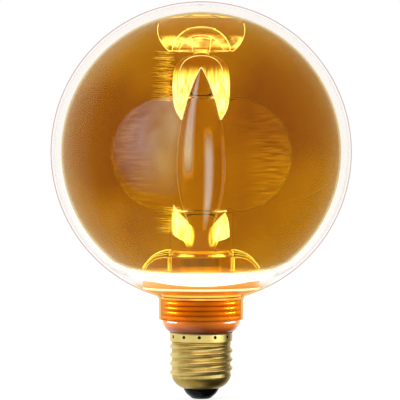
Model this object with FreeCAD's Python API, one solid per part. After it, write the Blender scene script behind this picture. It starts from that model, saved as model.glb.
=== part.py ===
"""Decorative LED globe bulb with a 27 mm Edison screw cap, in millimetres.

A thin clear globe holds a thick clear light guide, whose wall glows at its outline. Inside that is
an amber glass globe with a flame-shaped light column, petals at both of its ends, a round bubble
and a crown lens. Below are a ribbed amber cup with the LED board and the driver, and the screw cap.

+Z runs up the bulb's axis. The origin is the middle of the flat end of the centre contact.
"""

import FreeCAD, Part

import math
import os
from math import cos, degrees, pi, radians, sin, sqrt

V = FreeCAD.Vector
ORIGIN = V(0, 0, 0)
UP = V(0, 0, 1)

# Clearances
glue_gap = 0.2  # between bonded round faces
slide_gap = 0.3  # between nested glass walls
seat_gap = 0.05  # between pieces that stand on each other

# Overall
globe_radius = 62.5
ball_above_rim = 7.05  # from the rim of the neck to the ball's lowest point

# Screw cap: sheet with a rolled round thread
sheet = 0.3
thread_root_radius = 12.13
thread_crest_radius = 13.1
thread_pitch = 3.629
thread_length = 14.8
thread_fade = 1.6
crest_sharpness = 1.5
thread_phase = 0.09  # share of a turn by which the thread starts late
dome_height = 4.4
dome_mouth_radius = 7.4
dome_bulge = 0.75
collar_radius = 12.95
collar_length = 3.0
collar_step = 0.5
rim_flare = 0.15
rim_height = 0.5
crimp_count = 12
crimp_angle = 26.5
crimp_width = 0.9
crimp_height = 1.4
crimp_depth = 0.2
crimp_below_rim = 0.9

# Insulator and centre contact
contact_face_radius = 3.0
contact_radius = 4.7
contact_height = 1.0
contact_lip = 0.15
insulator_height = 3.4
insulator_bulge = 0.35
insulator_plug_radius = 7.1
insulator_plug_height = 3.2
eyelet_radius = 1.5
eyelet_bore_radius = 0.75
eyelet_floor = 0.7
eyelet_flange_radius = 2.4
eyelet_flange_height = 0.35

# Base cup: skirt, ribs, bore and the spigot that plugs into the cap
skirt_foot_radius = 12.8
skirt_height = 3.4
skirt_bulge = 0.42
rib_count = 5
rib_pitch = 2.0
rib_radius = 16.1
rib_depth = 0.4
cup_rim_height = 0.6
cup_bore_radius = 14.2
cup_floor = 1.6
cup_floor_radius = 12.6
cup_floor_slope = 2.2
spigot_clearance = 0.33  # to the inside of the thread's root
spigot_wall = 0.9
spigot_length = 10.0
rail_width = 1.0
rail_depth = 1.1
neck_above_skirt = 1.9

# Heat sink, LED board and what stands on it
sink_flange_step = 0.2  # from the ribs' crests in to the edge of the heat sink
sink_flange = 1.0
sink_plug_length = 3.6
sink_wall = 1.5
board_radius = 15.0
board_thickness = 1.6
led_count = 12
led_ring_radius = 11.4
led_length = 3.5
led_width = 2.8
led_height = 0.7
led_window_step = 0.1
led_window_border = 0.4
cob_radius = 4.6
cob_height = 0.7
cob_dam = 0.5
screw_count = 2
screw_circle_radius = 13.15
screw_angle = 15.0
screw_head_radius = 1.25
screw_head_height = 0.8
screw_radius = 0.65
screw_length = 3.2
screw_slot = 0.4
lead_hole_circle_radius = 6.4
lead_hole_radius = 0.7
reflector_wall = 0.8
reflector_below_guide = 0.8
reflector_lip = 0.6
reflector_lip_thickness = 0.4
reflector_lip_slope = 1.0

# Outer globe
globe_wall = 0.8
neck_clearance = 0.6  # between the ribs' crests and the inside of the neck
neck_fillet = 2.0

# Light guide and amber globe: balls with a flatter floor
guide_wall = 3.0
amber_wall = 0.8
floor_curve_radius = 120.0
floor_height_in_globe = 6.0  # from the globe's lowest point inside to the light guide
corner_radius = 25.0
floor_hole_radius = 9.0
spacer_inner_radius = 10.0
spacer_outer_radius = 14.0

# Seat collar under the light guide
seat_mouth_step = 1.3
seat_rim_radius = 24.3
seat_wall = 0.5
seat_heel_step = 1.7  # from the outside of the neck
seat_foot_above_sink = 0.15
seat_cone_height = 2.7

# Light column: foot with a crater, waist and flame
foot_radius = 8.6
foot_recess_radius = 7.6
foot_recess_depth = 1.4
foot_height = 17.6
crater_depth = 2.0
crater_floor_radius = 7.2
crater_mouth_radius = 7.9
waist_radius = 1.6
waist_length = 6.0
flame_radius = 10.0
flame_lower = 30.5
flame_tip_radius = 0.5
flame_tip_angle = 15.0  # degrees above level at which the tip's round end starts

# Flare round the foot
flare_inner_radius = 12.7
flare_outer_radius = 24.3
flare_height = 10.9
flare_wall = 1.0
flare_bulge = 2.0

# Petals
lower_hub_radius = 5.8
lower_hub_height = 2.4
lower_hub_gap = 0.3
lower_petal_reach = 11.5
lower_petal_throat_radius = 2.7
lower_petal_throat_height = 5.6
lower_petal_left = 20.4
lower_petal_right = 17.8
lower_petal_foot_radius = 4.8
lower_petal_heel_radius = 7.2
lower_petal_heel_height = 5.6
lower_petal_wing_radius = 11.7
lower_petal_wing_height = 8.4
lower_petal_bulge = 0.6
lower_petal_width = 11.0
upper_petal_top = 5.8
upper_petal_top_radius = 3.0
upper_petal_shoulder_radius = 11.5
upper_petal_shoulder_drop = 6.4
upper_petal_flank_radius = 11.4
upper_petal_flank_height = 6.5
upper_petal_cover = 0.5136  # share of the flame's upper part beside which the petals hang
upper_petal_tip_radius = 8.5
upper_petal_width = 15.0

# Bubble round the flame
bubble_centre_radius = 13.9
bubble_round_radius = 23.9
bubble_wall = 0.7
bubble_neck_radius = 13.4
bubble_fillet = 2.0
bubble_above_belly = 5.1

# Crown lens
crown_height = 17.05
crown_boss_radius = 3.2
crown_boss_top_radius = 4.2
crown_boss_height = 11.0
crown_hollow_radius = 11.0
crown_hollow_arch = 1.6
crown_rim_radius = 13.2
crown_rim_height = 1.8
crown_belly_radius = 18.0
crown_belly_height = 9.8
crown_belly_bulge = 1.0
crown_edge_radius = 17.2

# Driver board and its parts
driver_clearance = 0.3  # from each side to the inside of the spigot
driver_height = 27.0
driver_thickness = 1.2
driver_below_sink = 1.0
part_gap = 0.05
can_radius = 4.0
can_length = 11.5
can_x = -5.0
can_groove = 0.3
can_above_foot = 19.5
drum_radius = 3.8
drum_length = 7.0
drum_flange = 1.1
drum_core_radius = 1.8
drum_x = -3.2
drum_above_foot = 1.4
film_width = 7.0
film_depth = 4.0
film_height = 7.5
film_x = 4.7
film_above_foot = 2.0
bridge_width = 4.7
bridge_depth = 1.6
bridge_height = 3.9
bridge_x = -5.2
bridge_above_foot = 3.0
chip_width = 4.9
chip_depth = 1.5
chip_height = 3.9
chip_x = 3.6
chip_above_foot = 17.0
leg_width = 0.42
leg_pitch = 1.27
leg_reach = 1.0
leg_thickness = 0.2
fuse_radius = 1.3
fuse_length = 6.0
fuse_lead_radius = 0.3
fuse_x = 5.4
fuse_above_foot = 4.0
resistor_count = 3
resistor_width = 3.1
resistor_height = 1.6
resistor_depth = 0.6
resistor_pitch = 3.0
resistor_x = -4.4
resistor_above_foot = 13.0

# Leads
lead_wire_radius = 0.45
cap_wire_radius = 0.35
side_lead_above_foot = 1.4
side_lead_from_edge = 1.6
side_lead_rise = 4.0
solder_radius = 0.95
solder_height = 0.6

# Radii and widths that follow from the sizes above
spigot_radius = thread_root_radius - sheet - spigot_clearance
driver_width = 2 * (spigot_radius - spigot_wall - driver_clearance)
sink_flange_radius = rib_radius - sink_flange_step
neck_radius = rib_radius + neck_clearance + globe_wall
seat_bore_radius = sink_flange_radius + glue_gap
seat_mouth_radius = seat_bore_radius + seat_mouth_step
seat_heel_radius = neck_radius + seat_heel_step

# Heights that follow from the sizes above
z_cap_foot = contact_height + insulator_height
z_thread = z_cap_foot + dome_height
z_collar = z_thread + thread_length + collar_step
z_rim = z_collar + collar_length
z_cap_top = z_rim + rim_height
z_skirt = z_cap_top + seat_gap
z_ribs = z_skirt + skirt_height
z_cup_top = z_ribs + rib_count * rib_pitch + cup_rim_height
z_sink_top = z_cup_top + sink_flange
z_board_top = z_sink_top + board_thickness
z_neck_rim = z_ribs + neck_above_skirt
z_driver_top = z_cup_top - sink_plug_length - driver_below_sink
z_driver = z_driver_top - driver_height
z_globe = z_neck_rim + ball_above_rim + globe_radius
z_guide_floor = z_globe - (globe_radius - globe_wall) + floor_height_in_globe

# Depths of the walls inside the light guide's outside face
guide_radius = globe_radius - globe_wall - slide_gap
guide_inset = guide_wall
amber_inset = guide_wall + slide_gap
inside_inset = amber_inset + amber_wall
inside_radius = guide_radius - inside_inset

# Heights of the pieces in the amber globe, up from its floor and down from its top
z_foot = z_board_top + seat_gap
z_foot_top = z_foot + foot_height
z_crater = z_foot_top - crater_depth
z_flame_foot = z_crater + waist_length
z_flame_belly = z_flame_foot + flame_lower
z_hub = z_crater + seat_gap
z_bubble = z_flame_belly + bubble_above_belly
z_crown = z_globe + inside_radius - crown_height
z_petal_top = z_crown - seat_gap
z_flame_tip = z_petal_top - upper_petal_top
flame_upper = z_flame_tip - z_flame_belly
upper_petal_length = upper_petal_top + upper_petal_cover * flame_upper


def point(r, z):
    """A point of a profile, at radius r and height z, in the plane that is turned about the axis."""
    return V(round(r, 7), 0, z)


def line(a, b):
    """A straight edge of a profile, from (r, z) to (r, z)."""
    return Part.LineSegment(point(*a), point(*b)).toShape()


def arc(a, middle, b):
    """A round edge of a profile through three (r, z) points."""
    return Part.Arc(point(*a), point(*middle), point(*b)).toShape()


def on_circle(centre, radius, angle):
    """The (r, z) point of a circle at an angle in degrees, counted up from the outward side."""
    return centre[0] + radius * cos(radians(angle)), centre[1] + radius * sin(radians(angle))


def arc_about(centre, radius, start, end):
    """A round edge about a centre, between two angles in degrees."""
    ends = [on_circle(centre, radius, a) for a in (start, (start + end) / 2, end)]
    return arc(*ends)


def bowed(a, b, bulge):
    """A round edge from a to b that stands bulge away from the straight line, to its right."""
    dr, dz = b[0] - a[0], b[1] - a[1]
    length = math.hypot(dr, dz)
    middle = (a[0] + b[0]) / 2 + bulge * dz / length, (a[1] + b[1]) / 2 - bulge * dr / length
    return arc(a, middle, b)


def path(*points):
    """Straight edges through the given (r, z) points."""
    return [line(a, b) for a, b in zip(points, points[1:])]


def turned(edges):
    """The solid made by turning a closed profile about the axis."""
    face = Part.Face(Part.Wire(Part.__sortEdges__(edges)))
    solid = face.revolve(ORIGIN, UP, 360)
    return solid if solid.Volume > 0 else solid.reversed()


def tube(outer, inner, low, high):
    """A plain ring between two radii and two heights."""
    return turned(path((inner, low), (outer, low), (outer, high), (inner, high), (inner, low)))


def rod(radius, low, high, x=0.0, y=0.0):
    """An upright round bar."""
    return Part.makeCylinder(radius, high - low, V(x, y, low))


def block(width, depth, height, x, y, z):
    """A box with its middle at x and y, and its foot at z."""
    return Part.makeBox(width, depth, height, V(x - width / 2, y - depth / 2, z))


def ring_place(radius, angle):
    """The x and y of a point at a radius and an angle in degrees round the axis."""
    return radius * cos(radians(angle)), radius * sin(radians(angle))


def lead(points, radius):
    """A wire through x, y, z points: straight runs, with a tangent bend at each corner."""
    stops = [V(*p) for p in points]
    edges, here = [], stops[0]
    for before, corner, after in zip(stops, stops[1:], stops[2:]):
        back, ahead = before - corner, after - corner
        reach = 0.45 * min(back.Length, ahead.Length)
        half = back.getAngle(ahead) / 2
        start = corner + back.normalize() * reach
        end = corner + ahead.normalize() * reach
        bisector = (back + ahead).normalize()
        bend = reach * math.tan(half)
        middle = corner + bisector * (reach / cos(half) - bend)
        edges.append(Part.LineSegment(here, start).toShape())
        edges.append(Part.Arc(start, middle, end).toShape())
        here = end
    edges.append(Part.LineSegment(here, stops[-1]).toShape())
    section = Part.Wire([Part.makeCircle(radius, stops[0], stops[1] - stops[0])])
    return Part.Wire(edges).makePipeShell([section], True, False)


# Round walls that several pieces follow
def ball_on_neck(centre, ball, neck, fillet, inset):
    """The fillet between a ball and the neck below it, and the angle where the ball takes over.

    Returns the edge from the neck to the ball, the height where the neck ends, and the angle in
    degrees at which the ball starts. The wall is moved into the glass by inset.
    """
    fillet_r = neck + fillet
    fillet_z = centre[1] - sqrt((ball + fillet) ** 2 - (fillet_r - centre[0]) ** 2)
    angle = degrees(math.atan2(centre[1] - fillet_z, centre[0] - fillet_r))
    edge = arc_about((fillet_r, fillet_z), fillet + inset, 180, angle)
    return edge, fillet_z, angle - 180


def floor_point(r, inset):
    """The point at radius r on the flatter floor of the light guide, moved inwards by inset."""
    centre = z_guide_floor + floor_curve_radius
    return r, centre - sqrt((floor_curve_radius - inset) ** 2 - r**2)


def floor_arc(start, end, inset):
    """The floor between two radii."""
    return arc(floor_point(start, inset), floor_point((start + end) / 2, inset), floor_point(end, inset))


def floored_ball(inset):
    """The outline of the light guide from its floor hole to its top, moved inwards by inset."""
    rise = z_guide_floor + floor_curve_radius - z_globe
    from_floor = floor_curve_radius - corner_radius
    from_ball = guide_radius - corner_radius
    drop = (from_floor**2 - from_ball**2 - rise**2) / (2 * rise)
    corner = sqrt(from_ball**2 - drop**2), z_globe - drop
    floor_end = degrees(math.atan2(-drop - rise, corner[0]))
    ball_start = degrees(math.atan2(-drop, corner[0]))
    floor_end_radius = (floor_curve_radius - inset) * cos(radians(floor_end))
    return [
        floor_arc(floor_hole_radius, floor_end_radius, inset),
        arc_about(corner, corner_radius - inset, floor_end, ball_start),
        arc_about((0, z_globe), guide_radius - inset, ball_start, 90),
    ]


def hollow_ball(outer, inner):
    """A floored ball of glass between two insets, open at the floor hole."""
    foot = line(floor_point(floor_hole_radius, outer), floor_point(floor_hole_radius, inner))
    top = line((0, z_globe + guide_radius - outer), (0, z_globe + guide_radius - inner))
    return turned(floored_ball(outer) + floored_ball(inner) + [foot, top])


# Envelope
def outer_globe():
    """The clear globe: a thin ball that runs through a small fillet into a short neck."""
    edges = []
    for inset in (0, globe_wall):
        edge, neck_top, start = ball_on_neck((0, z_globe), globe_radius, neck_radius, neck_fillet, inset)
        r = neck_radius - inset
        edges += [line((r, z_neck_rim + globe_wall / 2), (r, neck_top)), edge]
        edges.append(arc_about((0, z_globe), globe_radius - inset, start, 90))
    edges.append(line((0, z_globe + globe_radius), (0, z_globe + globe_radius - globe_wall)))
    edges.append(arc_about((neck_radius - globe_wall / 2, z_neck_rim + globe_wall / 2), globe_wall / 2, 180, 360))
    return turned(edges)


def spacer_ring():
    """The thin clear ring on which the amber globe stands in the light guide."""
    low, high = guide_inset, amber_inset
    inner, outer = spacer_inner_radius, spacer_outer_radius
    sides = [line(floor_point(r, low), floor_point(r, high)) for r in (inner, outer)]
    return turned([floor_arc(inner, outer, low), floor_arc(inner, outer, high)] + sides)


def seat_collar():
    """The orange funnel that carries the light guide on the shoulder of the outer globe."""
    ball = globe_radius - globe_wall
    heel = seat_heel_radius, z_globe - sqrt(ball**2 - seat_heel_radius**2)
    rim_low = seat_rim_radius, z_globe - sqrt(ball**2 - seat_rim_radius**2)
    middle = (seat_heel_radius + seat_rim_radius) / 2
    foot = z_sink_top + seat_foot_above_sink
    mouth, rim = floor_point(seat_mouth_radius, 0), floor_point(seat_rim_radius, 0)
    edges = path(rim, rim_low) + [arc(rim_low, (middle, z_globe - sqrt(ball**2 - middle**2)), heel)]
    skirt = seat_bore_radius + seat_wall
    edges += path(heel, (skirt, heel[1]), (skirt, foot), (seat_bore_radius, foot))
    edges += path((seat_bore_radius, foot), (seat_bore_radius, foot + seat_cone_height), mouth)
    return turned(edges + [floor_arc(seat_mouth_radius, seat_rim_radius, 0)])


# Light column and the glass round it
def flame_side(rise, end_radius):
    """Radius and centre of the arc that leaves the flame's belly upright and reaches end_radius."""
    inwards = flame_radius - end_radius
    radius = (rise**2 + inwards**2) / (2 * inwards)
    return radius, (flame_radius - radius, z_flame_belly)


def flame_upper_arc(gap):
    """The flame's outline from its belly to its tip, moved outwards by gap."""
    radius, centre = flame_side(flame_upper, flame_tip_radius)
    return arc_about(centre, radius + gap, 0, degrees(math.asin(flame_upper / radius)))


def light_column():
    """The light column: a round foot with a crater, a thin waist, and the long pointed flame."""
    radius, centre = flame_side(flame_lower, waist_radius)
    tip_drop = flame_tip_radius * math.tan(radians(flame_tip_angle))
    tip_ball = flame_tip_radius / cos(radians(flame_tip_angle))
    tip_centre = 0, z_flame_tip - tip_drop
    recess = z_foot + foot_recess_depth
    edges = path((0, recess), (foot_recess_radius, recess), (foot_recess_radius, z_foot), (foot_radius, z_foot))
    edges += path((foot_radius, z_foot), (foot_radius, z_foot_top), (crater_mouth_radius, z_foot_top))
    edges += path((crater_mouth_radius, z_foot_top), (crater_floor_radius, z_crater), (waist_radius, z_crater))
    edges.append(line((waist_radius, z_crater), (waist_radius, z_flame_foot)))
    edges.append(arc_about(centre, radius, -degrees(math.asin(flame_lower / radius)), 0))
    edges.append(flame_upper_arc(0))
    edges.append(arc_about(tip_centre, tip_ball, flame_tip_angle, 90))
    edges.append(line((0, z_flame_tip - tip_drop + tip_ball), (0, recess)))
    return turned(edges)


def flare():
    """The arched glass ring that stands on the amber globe's floor round the column's foot."""
    crest = floor_point(0, inside_inset)[1] + flare_height
    ring_top = flare_inner_radius + flare_wall
    foot_out = floor_point(flare_outer_radius, inside_inset)
    foot_in = floor_point(flare_outer_radius - flare_wall, inside_inset)
    wall_out = floor_point(ring_top, inside_inset)
    wall_in = floor_point(flare_inner_radius, inside_inset)
    edges = [bowed(foot_out, (ring_top, crest), flare_bulge)]
    edges += path((ring_top, crest), (flare_inner_radius, crest), wall_in)
    edges.append(floor_arc(flare_inner_radius, ring_top, inside_inset))
    edges.append(line(wall_out, (ring_top, crest - 2 * flare_wall)))
    edges.append(bowed(foot_in, (ring_top, crest - 2 * flare_wall), flare_bulge))
    edges.append(floor_arc(flare_outer_radius - flare_wall, flare_outer_radius, inside_inset))
    return turned(edges)


def bubble():
    """The open round bubble of thin glass that stands on the flare and surrounds the flame."""
    centre = bubble_centre_radius, z_bubble
    foot = floor_point(0, inside_inset)[1] + flare_height + seat_gap
    edges = []
    for inset in (0, bubble_wall):
        fillet, neck_top, start = ball_on_neck(
            centre, bubble_round_radius, bubble_neck_radius, bubble_fillet, inset
        )
        r = bubble_neck_radius - inset
        edges += [line((r, foot), (r, neck_top)), fillet]
        edges.append(arc_about(centre, bubble_round_radius - inset, start, 90))
    edges.append(line((bubble_neck_radius, foot), (bubble_neck_radius - bubble_wall, foot)))
    top = z_bubble + bubble_round_radius
    edges.append(line((bubble_centre_radius, top), (bubble_centre_radius, top - bubble_wall)))
    return turned(edges)


def leaf(low, high, width, side):
    """A leaf outline seen along X, blunt at low and pointed at high, swept out to one side."""
    half, mid = width / 2, low + (high - low) * 0.45
    ends = V(0, -half * 0.7, low), V(0, half * 0.7, low), V(0, 0, high)
    left = Part.Arc(ends[0], V(0, -half, mid), ends[2]).toShape()
    right = Part.Arc(ends[1], V(0, half, mid), ends[2]).toShape()
    foot = Part.LineSegment(ends[0], ends[1]).toShape()
    outline = Part.Face(Part.Wire(Part.__sortEdges__([left, right, foot])))
    return outline.extrude(V(side * 2 * bubble_round_radius, 0, 0))


def lower_petals():
    """The two flame-like petals that rise from a hub round the column's waist."""
    bore = waist_radius + lower_hub_gap
    hub = tube(lower_hub_radius, bore, z_hub, z_hub + lower_hub_height)
    for side, height in ((-1, lower_petal_left), (1, lower_petal_right)):
        tip = lower_petal_reach * height / lower_petal_left, z_hub + height
        throat = lower_petal_throat_radius, z_hub + lower_petal_throat_height
        heel = lower_petal_heel_radius, z_hub + lower_petal_heel_height
        wing = lower_petal_wing_radius, z_hub + lower_petal_wing_height * height / lower_petal_left
        edges = path((bore, z_hub), (lower_petal_foot_radius, z_hub), heel)
        edges += [bowed(heel, wing, lower_petal_bulge / 2), bowed(wing, tip, lower_petal_bulge)]
        edges += path(tip, throat, (bore, throat[1] - 1.0), (bore, z_hub))
        hub = hub.fuse(turned(edges).common(leaf(z_hub, tip[1] + 1.0, lower_petal_width, side)))
    return hub.removeSplitter()


def upper_petals():
    """The two petals that hang from a hood on the flame's tip."""
    tip_z = z_petal_top - upper_petal_length
    top = upper_petal_top_radius, z_petal_top
    shoulder = upper_petal_shoulder_radius, z_petal_top - upper_petal_shoulder_drop
    flank = upper_petal_flank_radius, tip_z + upper_petal_flank_height
    tip = upper_petal_tip_radius, tip_z
    hood = [line((0, z_petal_top), top), bowed(shoulder, top, 1.9), bowed(flank, shoulder, 0.5)]
    hood.append(bowed(tip, flank, 0.4))
    bell = turned(hood + path(tip, (0, tip_z), (0, z_petal_top)))
    leaves = leaf(z_petal_top + 1.0, tip_z - 1.0, upper_petal_width, 1)
    bell = bell.common(leaves.fuse(leaves.mirror(ORIGIN, V(1, 0, 0))))
    outline = flame_upper_arc(seat_gap)
    foot, end = outline.Vertexes[0].Point, outline.Vertexes[1].Point
    roof = V(0, 0, end.z + flame_tip_radius)
    half = [outline, Part.makeLine(end, roof), Part.makeLine(roof, V(0, 0, foot.z))]
    half.append(Part.makeLine(V(0, 0, foot.z), foot))
    window = Part.Face(Part.Wire(Part.__sortEdges__(half))).extrude(V(0, 4 * flame_radius, 0))
    window.translate(V(0, -2 * flame_radius, 0))
    return bell.cut(window).cut(window.mirror(ORIGIN, V(1, 0, 0)))


def crown_lens():
    """The crown lens: a hollowed glass cushion between the petals and the top of the amber globe."""
    ball = inside_radius - seat_gap
    edge = crown_edge_radius, z_globe + sqrt(ball**2 - crown_edge_radius**2)
    middle = crown_edge_radius / 2, z_globe + sqrt(ball**2 - crown_edge_radius**2 / 4)
    top = 0, z_globe + ball
    boss_top = crown_boss_top_radius, z_crown + crown_boss_height
    hollow = crown_hollow_radius, z_crown + crown_rim_height + 0.6
    rim = crown_rim_radius, z_crown + crown_rim_height
    belly = crown_belly_radius, z_crown + crown_belly_height
    edges = path(top, (0, z_crown), (crown_boss_radius, z_crown), boss_top)
    edges.append(bowed(hollow, boss_top, crown_hollow_arch))
    edges.append(line(hollow, rim))
    edges += [bowed(rim, belly, crown_belly_bulge), bowed(belly, edge, 0.3), arc(edge, middle, top)]
    return turned(edges)


# Base cup and the parts in the neck
def rib_edges():
    """The outside of the ribs, from the skirt up."""
    valley = rib_radius - rib_depth
    starts = [z_ribs + i * rib_pitch for i in range(rib_count)]
    return [bowed((valley, z), (valley, z + rib_pitch), rib_depth) for z in starts]


def base_cup():
    """The amber cup: the spigot in the cap, the round skirt, the ribs, and rails for the driver."""
    valley = rib_radius - rib_depth
    spigot_bore = spigot_radius - spigot_wall
    z_spigot = z_skirt - spigot_length
    z_floor = z_skirt + cup_floor
    edges = path((spigot_bore, z_spigot), (spigot_radius, z_spigot), (spigot_radius, z_skirt))
    edges.append(line((spigot_radius, z_skirt), (skirt_foot_radius, z_skirt)))
    edges.append(bowed((skirt_foot_radius, z_skirt), (valley, z_ribs), skirt_bulge))
    edges += rib_edges()
    edges += path((valley, z_cup_top - cup_rim_height), (valley, z_cup_top), (cup_bore_radius, z_cup_top))
    edges += path((cup_bore_radius, z_cup_top), (cup_bore_radius, z_floor + cup_floor_slope))
    edges += path((cup_bore_radius, z_floor + cup_floor_slope), (cup_floor_radius, z_floor))
    edges += path((cup_floor_radius, z_floor), (spigot_bore, z_floor), (spigot_bore, z_spigot))
    body = turned(edges)
    inside = tube(spigot_radius, spigot_bore - rail_depth, z_spigot, z_floor)
    rail_y = driver_thickness / 2 + part_gap + rail_width / 2
    rails = [
        block(2 * spigot_radius, rail_width, z_floor - z_spigot, 0, side * rail_y, z_spigot).common(inside)
        for side in (-1, 1)
    ]
    for pair in rails:
        body = body.fuse(pair)
    return body.removeSplitter()


def neck_seal():
    """The clear seal between one rib of the cup and the neck of the globe."""
    valley = rib_radius - rib_depth
    low, high = z_ribs + rib_pitch, z_ribs + 2 * rib_pitch
    bore = neck_radius - globe_wall
    edges = path((valley, high), (bore, high), (bore, low), (valley, low))
    return turned(edges + [rib_edges()[1]])


def screw_places():
    """The x and y of each board screw."""
    return [ring_place(screw_circle_radius, screw_angle + 360 / screw_count * i) for i in range(screw_count)]


def lead_places():
    """The x and y of the two lead holes."""
    return [ring_place(lead_hole_circle_radius, 90 + 180 * i) for i in range(2)]


def drilled(solid, low, high):
    """The solid with the screw and lead holes through it."""
    for x, y in screw_places():
        solid = solid.cut(rod(screw_radius, low - 1, high + 1, x, y))
    for x, y in lead_places():
        solid = solid.cut(rod(lead_hole_radius, low - 1, high + 1, x, y))
    return solid


def heat_sink():
    """The cast heat sink: a plate with a flange on the cup's rim and a plug in its bore."""
    plug = cup_bore_radius - glue_gap
    edges = path(
        (0, z_cup_top),
        (plug - sink_wall, z_cup_top),
        (plug - sink_wall, z_cup_top - sink_plug_length),
        (plug, z_cup_top - sink_plug_length),
        (plug, z_cup_top),
        (sink_flange_radius, z_cup_top),
        (sink_flange_radius, z_sink_top),
        (0, z_sink_top),
        (0, z_cup_top),
    )
    return drilled(turned(edges), z_cup_top, z_sink_top)


def led_board():
    """The round metal-core board."""
    return drilled(rod(board_radius, z_sink_top, z_board_top), z_sink_top, z_board_top)


def led(angle):
    """One LED of the ring: a body with a raised window."""
    body = block(led_length, led_width, led_height, led_ring_radius, 0, z_board_top)
    window = block(
        led_length - 2 * led_window_border,
        led_width - 2 * led_window_border,
        led_window_step,
        led_ring_radius,
        0,
        z_board_top + led_height,
    )
    part = body.fuse(window)
    part.rotate(ORIGIN, UP, angle)
    return part


def column_emitter():
    """The round emitter under the light column, with a dam round its phosphor."""
    top = z_board_top + cob_height
    body = rod(cob_radius, z_board_top, top)
    return body.cut(rod(cob_radius - cob_dam, top - cob_dam / 2, top + 1))


def board_screw(x, y):
    """One slotted screw through the board and into the heat sink."""
    head_top = z_board_top + screw_head_height
    part = rod(screw_head_radius, z_board_top, head_top, x, y)
    part = part.fuse(rod(screw_radius - seat_gap, z_board_top - screw_length, z_board_top, x, y))
    slot = block(3 * screw_head_radius, screw_slot, screw_slot, x, y, head_top - screw_slot)
    return part.cut(slot).removeSplitter()


def reflector():
    """The white ring round the board, with a small lip turned in at its top."""
    outer, inner = sink_flange_radius, sink_flange_radius - reflector_wall
    top = floor_point(outer, 0)[1] - reflector_below_guide
    edges = path((inner, z_sink_top), (outer, z_sink_top), (outer, top), (inner - reflector_lip, top))
    lip_foot = top - reflector_lip_thickness
    slope_foot = lip_foot - reflector_lip_slope
    edges += path((inner - reflector_lip, top), (inner - reflector_lip, lip_foot), (inner, slope_foot))
    return turned(edges + path((inner, slope_foot), (inner, z_sink_top)))


# Screw cap
def smooth(share):
    """Rises gently from 0 to 1 as share does."""
    share = min(1.0, max(0.0, share))
    return share * share * (3 - 2 * share)


def thread_radius(angle, z):
    """Outside radius of the rolled thread at an angle in degrees and a height."""
    above = z - z_thread
    turns = above / thread_pitch - angle / 360 - thread_phase
    ridge = (0.5 + 0.5 * cos(2 * pi * turns)) ** crest_sharpness
    fade = smooth(above / thread_fade) * smooth((thread_length - above) / thread_fade)
    return thread_root_radius + (thread_crest_radius - thread_root_radius) * ridge * fade


def thread_wall(inset):
    """One face of the threaded wall, closed round the axis and moved inwards by inset.

    The cubic surface passes a little inside its poles, so each pole stands out by that share.
    """
    around, up = 36, 5 * math.ceil(4 * thread_length / thread_pitch)
    outwards = 3 / (2 + cos(2 * pi / around))
    poles = []
    for i in range(around):
        angle = 360 * i / around
        heights = [z_thread + thread_length * j / up for j in range(up + 1)]
        radii = [(thread_radius(angle, z) - inset) * outwards for z in heights]
        poles.append([V(*ring_place(r, angle), z) for r, z in zip(radii, heights)])
    surface = Part.BSplineSurface()
    knots_around = list(range(around + 1))
    knots_up = list(range(up - 1))
    surface.buildFromPolesMultsKnots(
        poles,
        [1] * len(knots_around),
        [4] + [1] * (len(knots_up) - 2) + [4],
        knots_around,
        knots_up,
        True,
        False,
        3,
        3,
    )
    return surface.toShape()


def threaded_tube():
    """The threaded part of the cap, with flat ring ends."""
    outside, inside = thread_wall(0), thread_wall(sheet)
    faces = [outside, inside]
    for z in (z_thread, z_thread + thread_length):
        rings = []
        for wall in (outside, inside):
            level = [e for e in wall.Edges if abs(e.BoundBox.ZMin - z) + abs(e.BoundBox.ZMax - z) < 0.01]
            rings.append(Part.Wire(level))
        faces.append(Part.makeFace(rings, "Part::FaceMakerBullseye"))
    skin = Part.makeShell(faces)
    skin.sewShape(0.001)
    solid = Part.makeSolid(skin)
    return solid if solid.Volume > 0 else solid.reversed()


def crimp(angle):
    """A wedge that leaves one triangular staking dent in the collar."""
    z = z_cap_top - crimp_below_rim - crimp_height / 2
    floor = collar_radius - crimp_depth
    wires = []
    for r, grow in ((floor, 0.35), (collar_radius + crimp_depth, 1.5)):
        half, low, high = crimp_width / 2 * grow, z - crimp_height / 2 * grow, z + crimp_height / 2 * grow
        wires.append(Part.makePolygon([V(r, -half, low), V(r, half, low), V(r, 0, high), V(r, -half, low)]))
    wedge = Part.makeLoft(wires, True, True)
    wedge.rotate(ORIGIN, UP, angle)
    return wedge


def screw_cap():
    """The threaded sheet-metal cap: a dome, the rolled thread, and a collar with staking dents."""
    root, z_end = thread_root_radius, z_thread + thread_length
    lip = sheet * 0.7
    mouth_out, mouth_in = (dome_mouth_radius, z_cap_foot), (dome_mouth_radius - lip, z_cap_foot + lip)
    dome_out = bowed(mouth_out, (root, z_thread), dome_bulge)
    dome_in = bowed(mouth_in, (root - sheet, z_thread), dome_bulge)
    dome = turned([dome_out, dome_in, line(mouth_out, mouth_in), line((root, z_thread), (root - sheet, z_thread))])
    outside = [(root, z_end), (collar_radius, z_collar), (collar_radius, z_rim), (collar_radius + rim_flare, z_cap_top)]
    inside = [(r - sheet, z) for r, z in reversed(outside)]
    collar = turned(path(*outside, *inside, outside[0]))
    body = threaded_tube().fuse([dome, collar], 0.002)
    dents = [crimp(crimp_angle + 360 / crimp_count * i) for i in range(crimp_count)]
    return body.cut(Part.makeCompound(dents))


def cement_ring():
    """The cement between the cap's collar and the cup's spigot."""
    return tube(collar_radius - sheet, spigot_radius, z_collar, z_rim)


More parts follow.
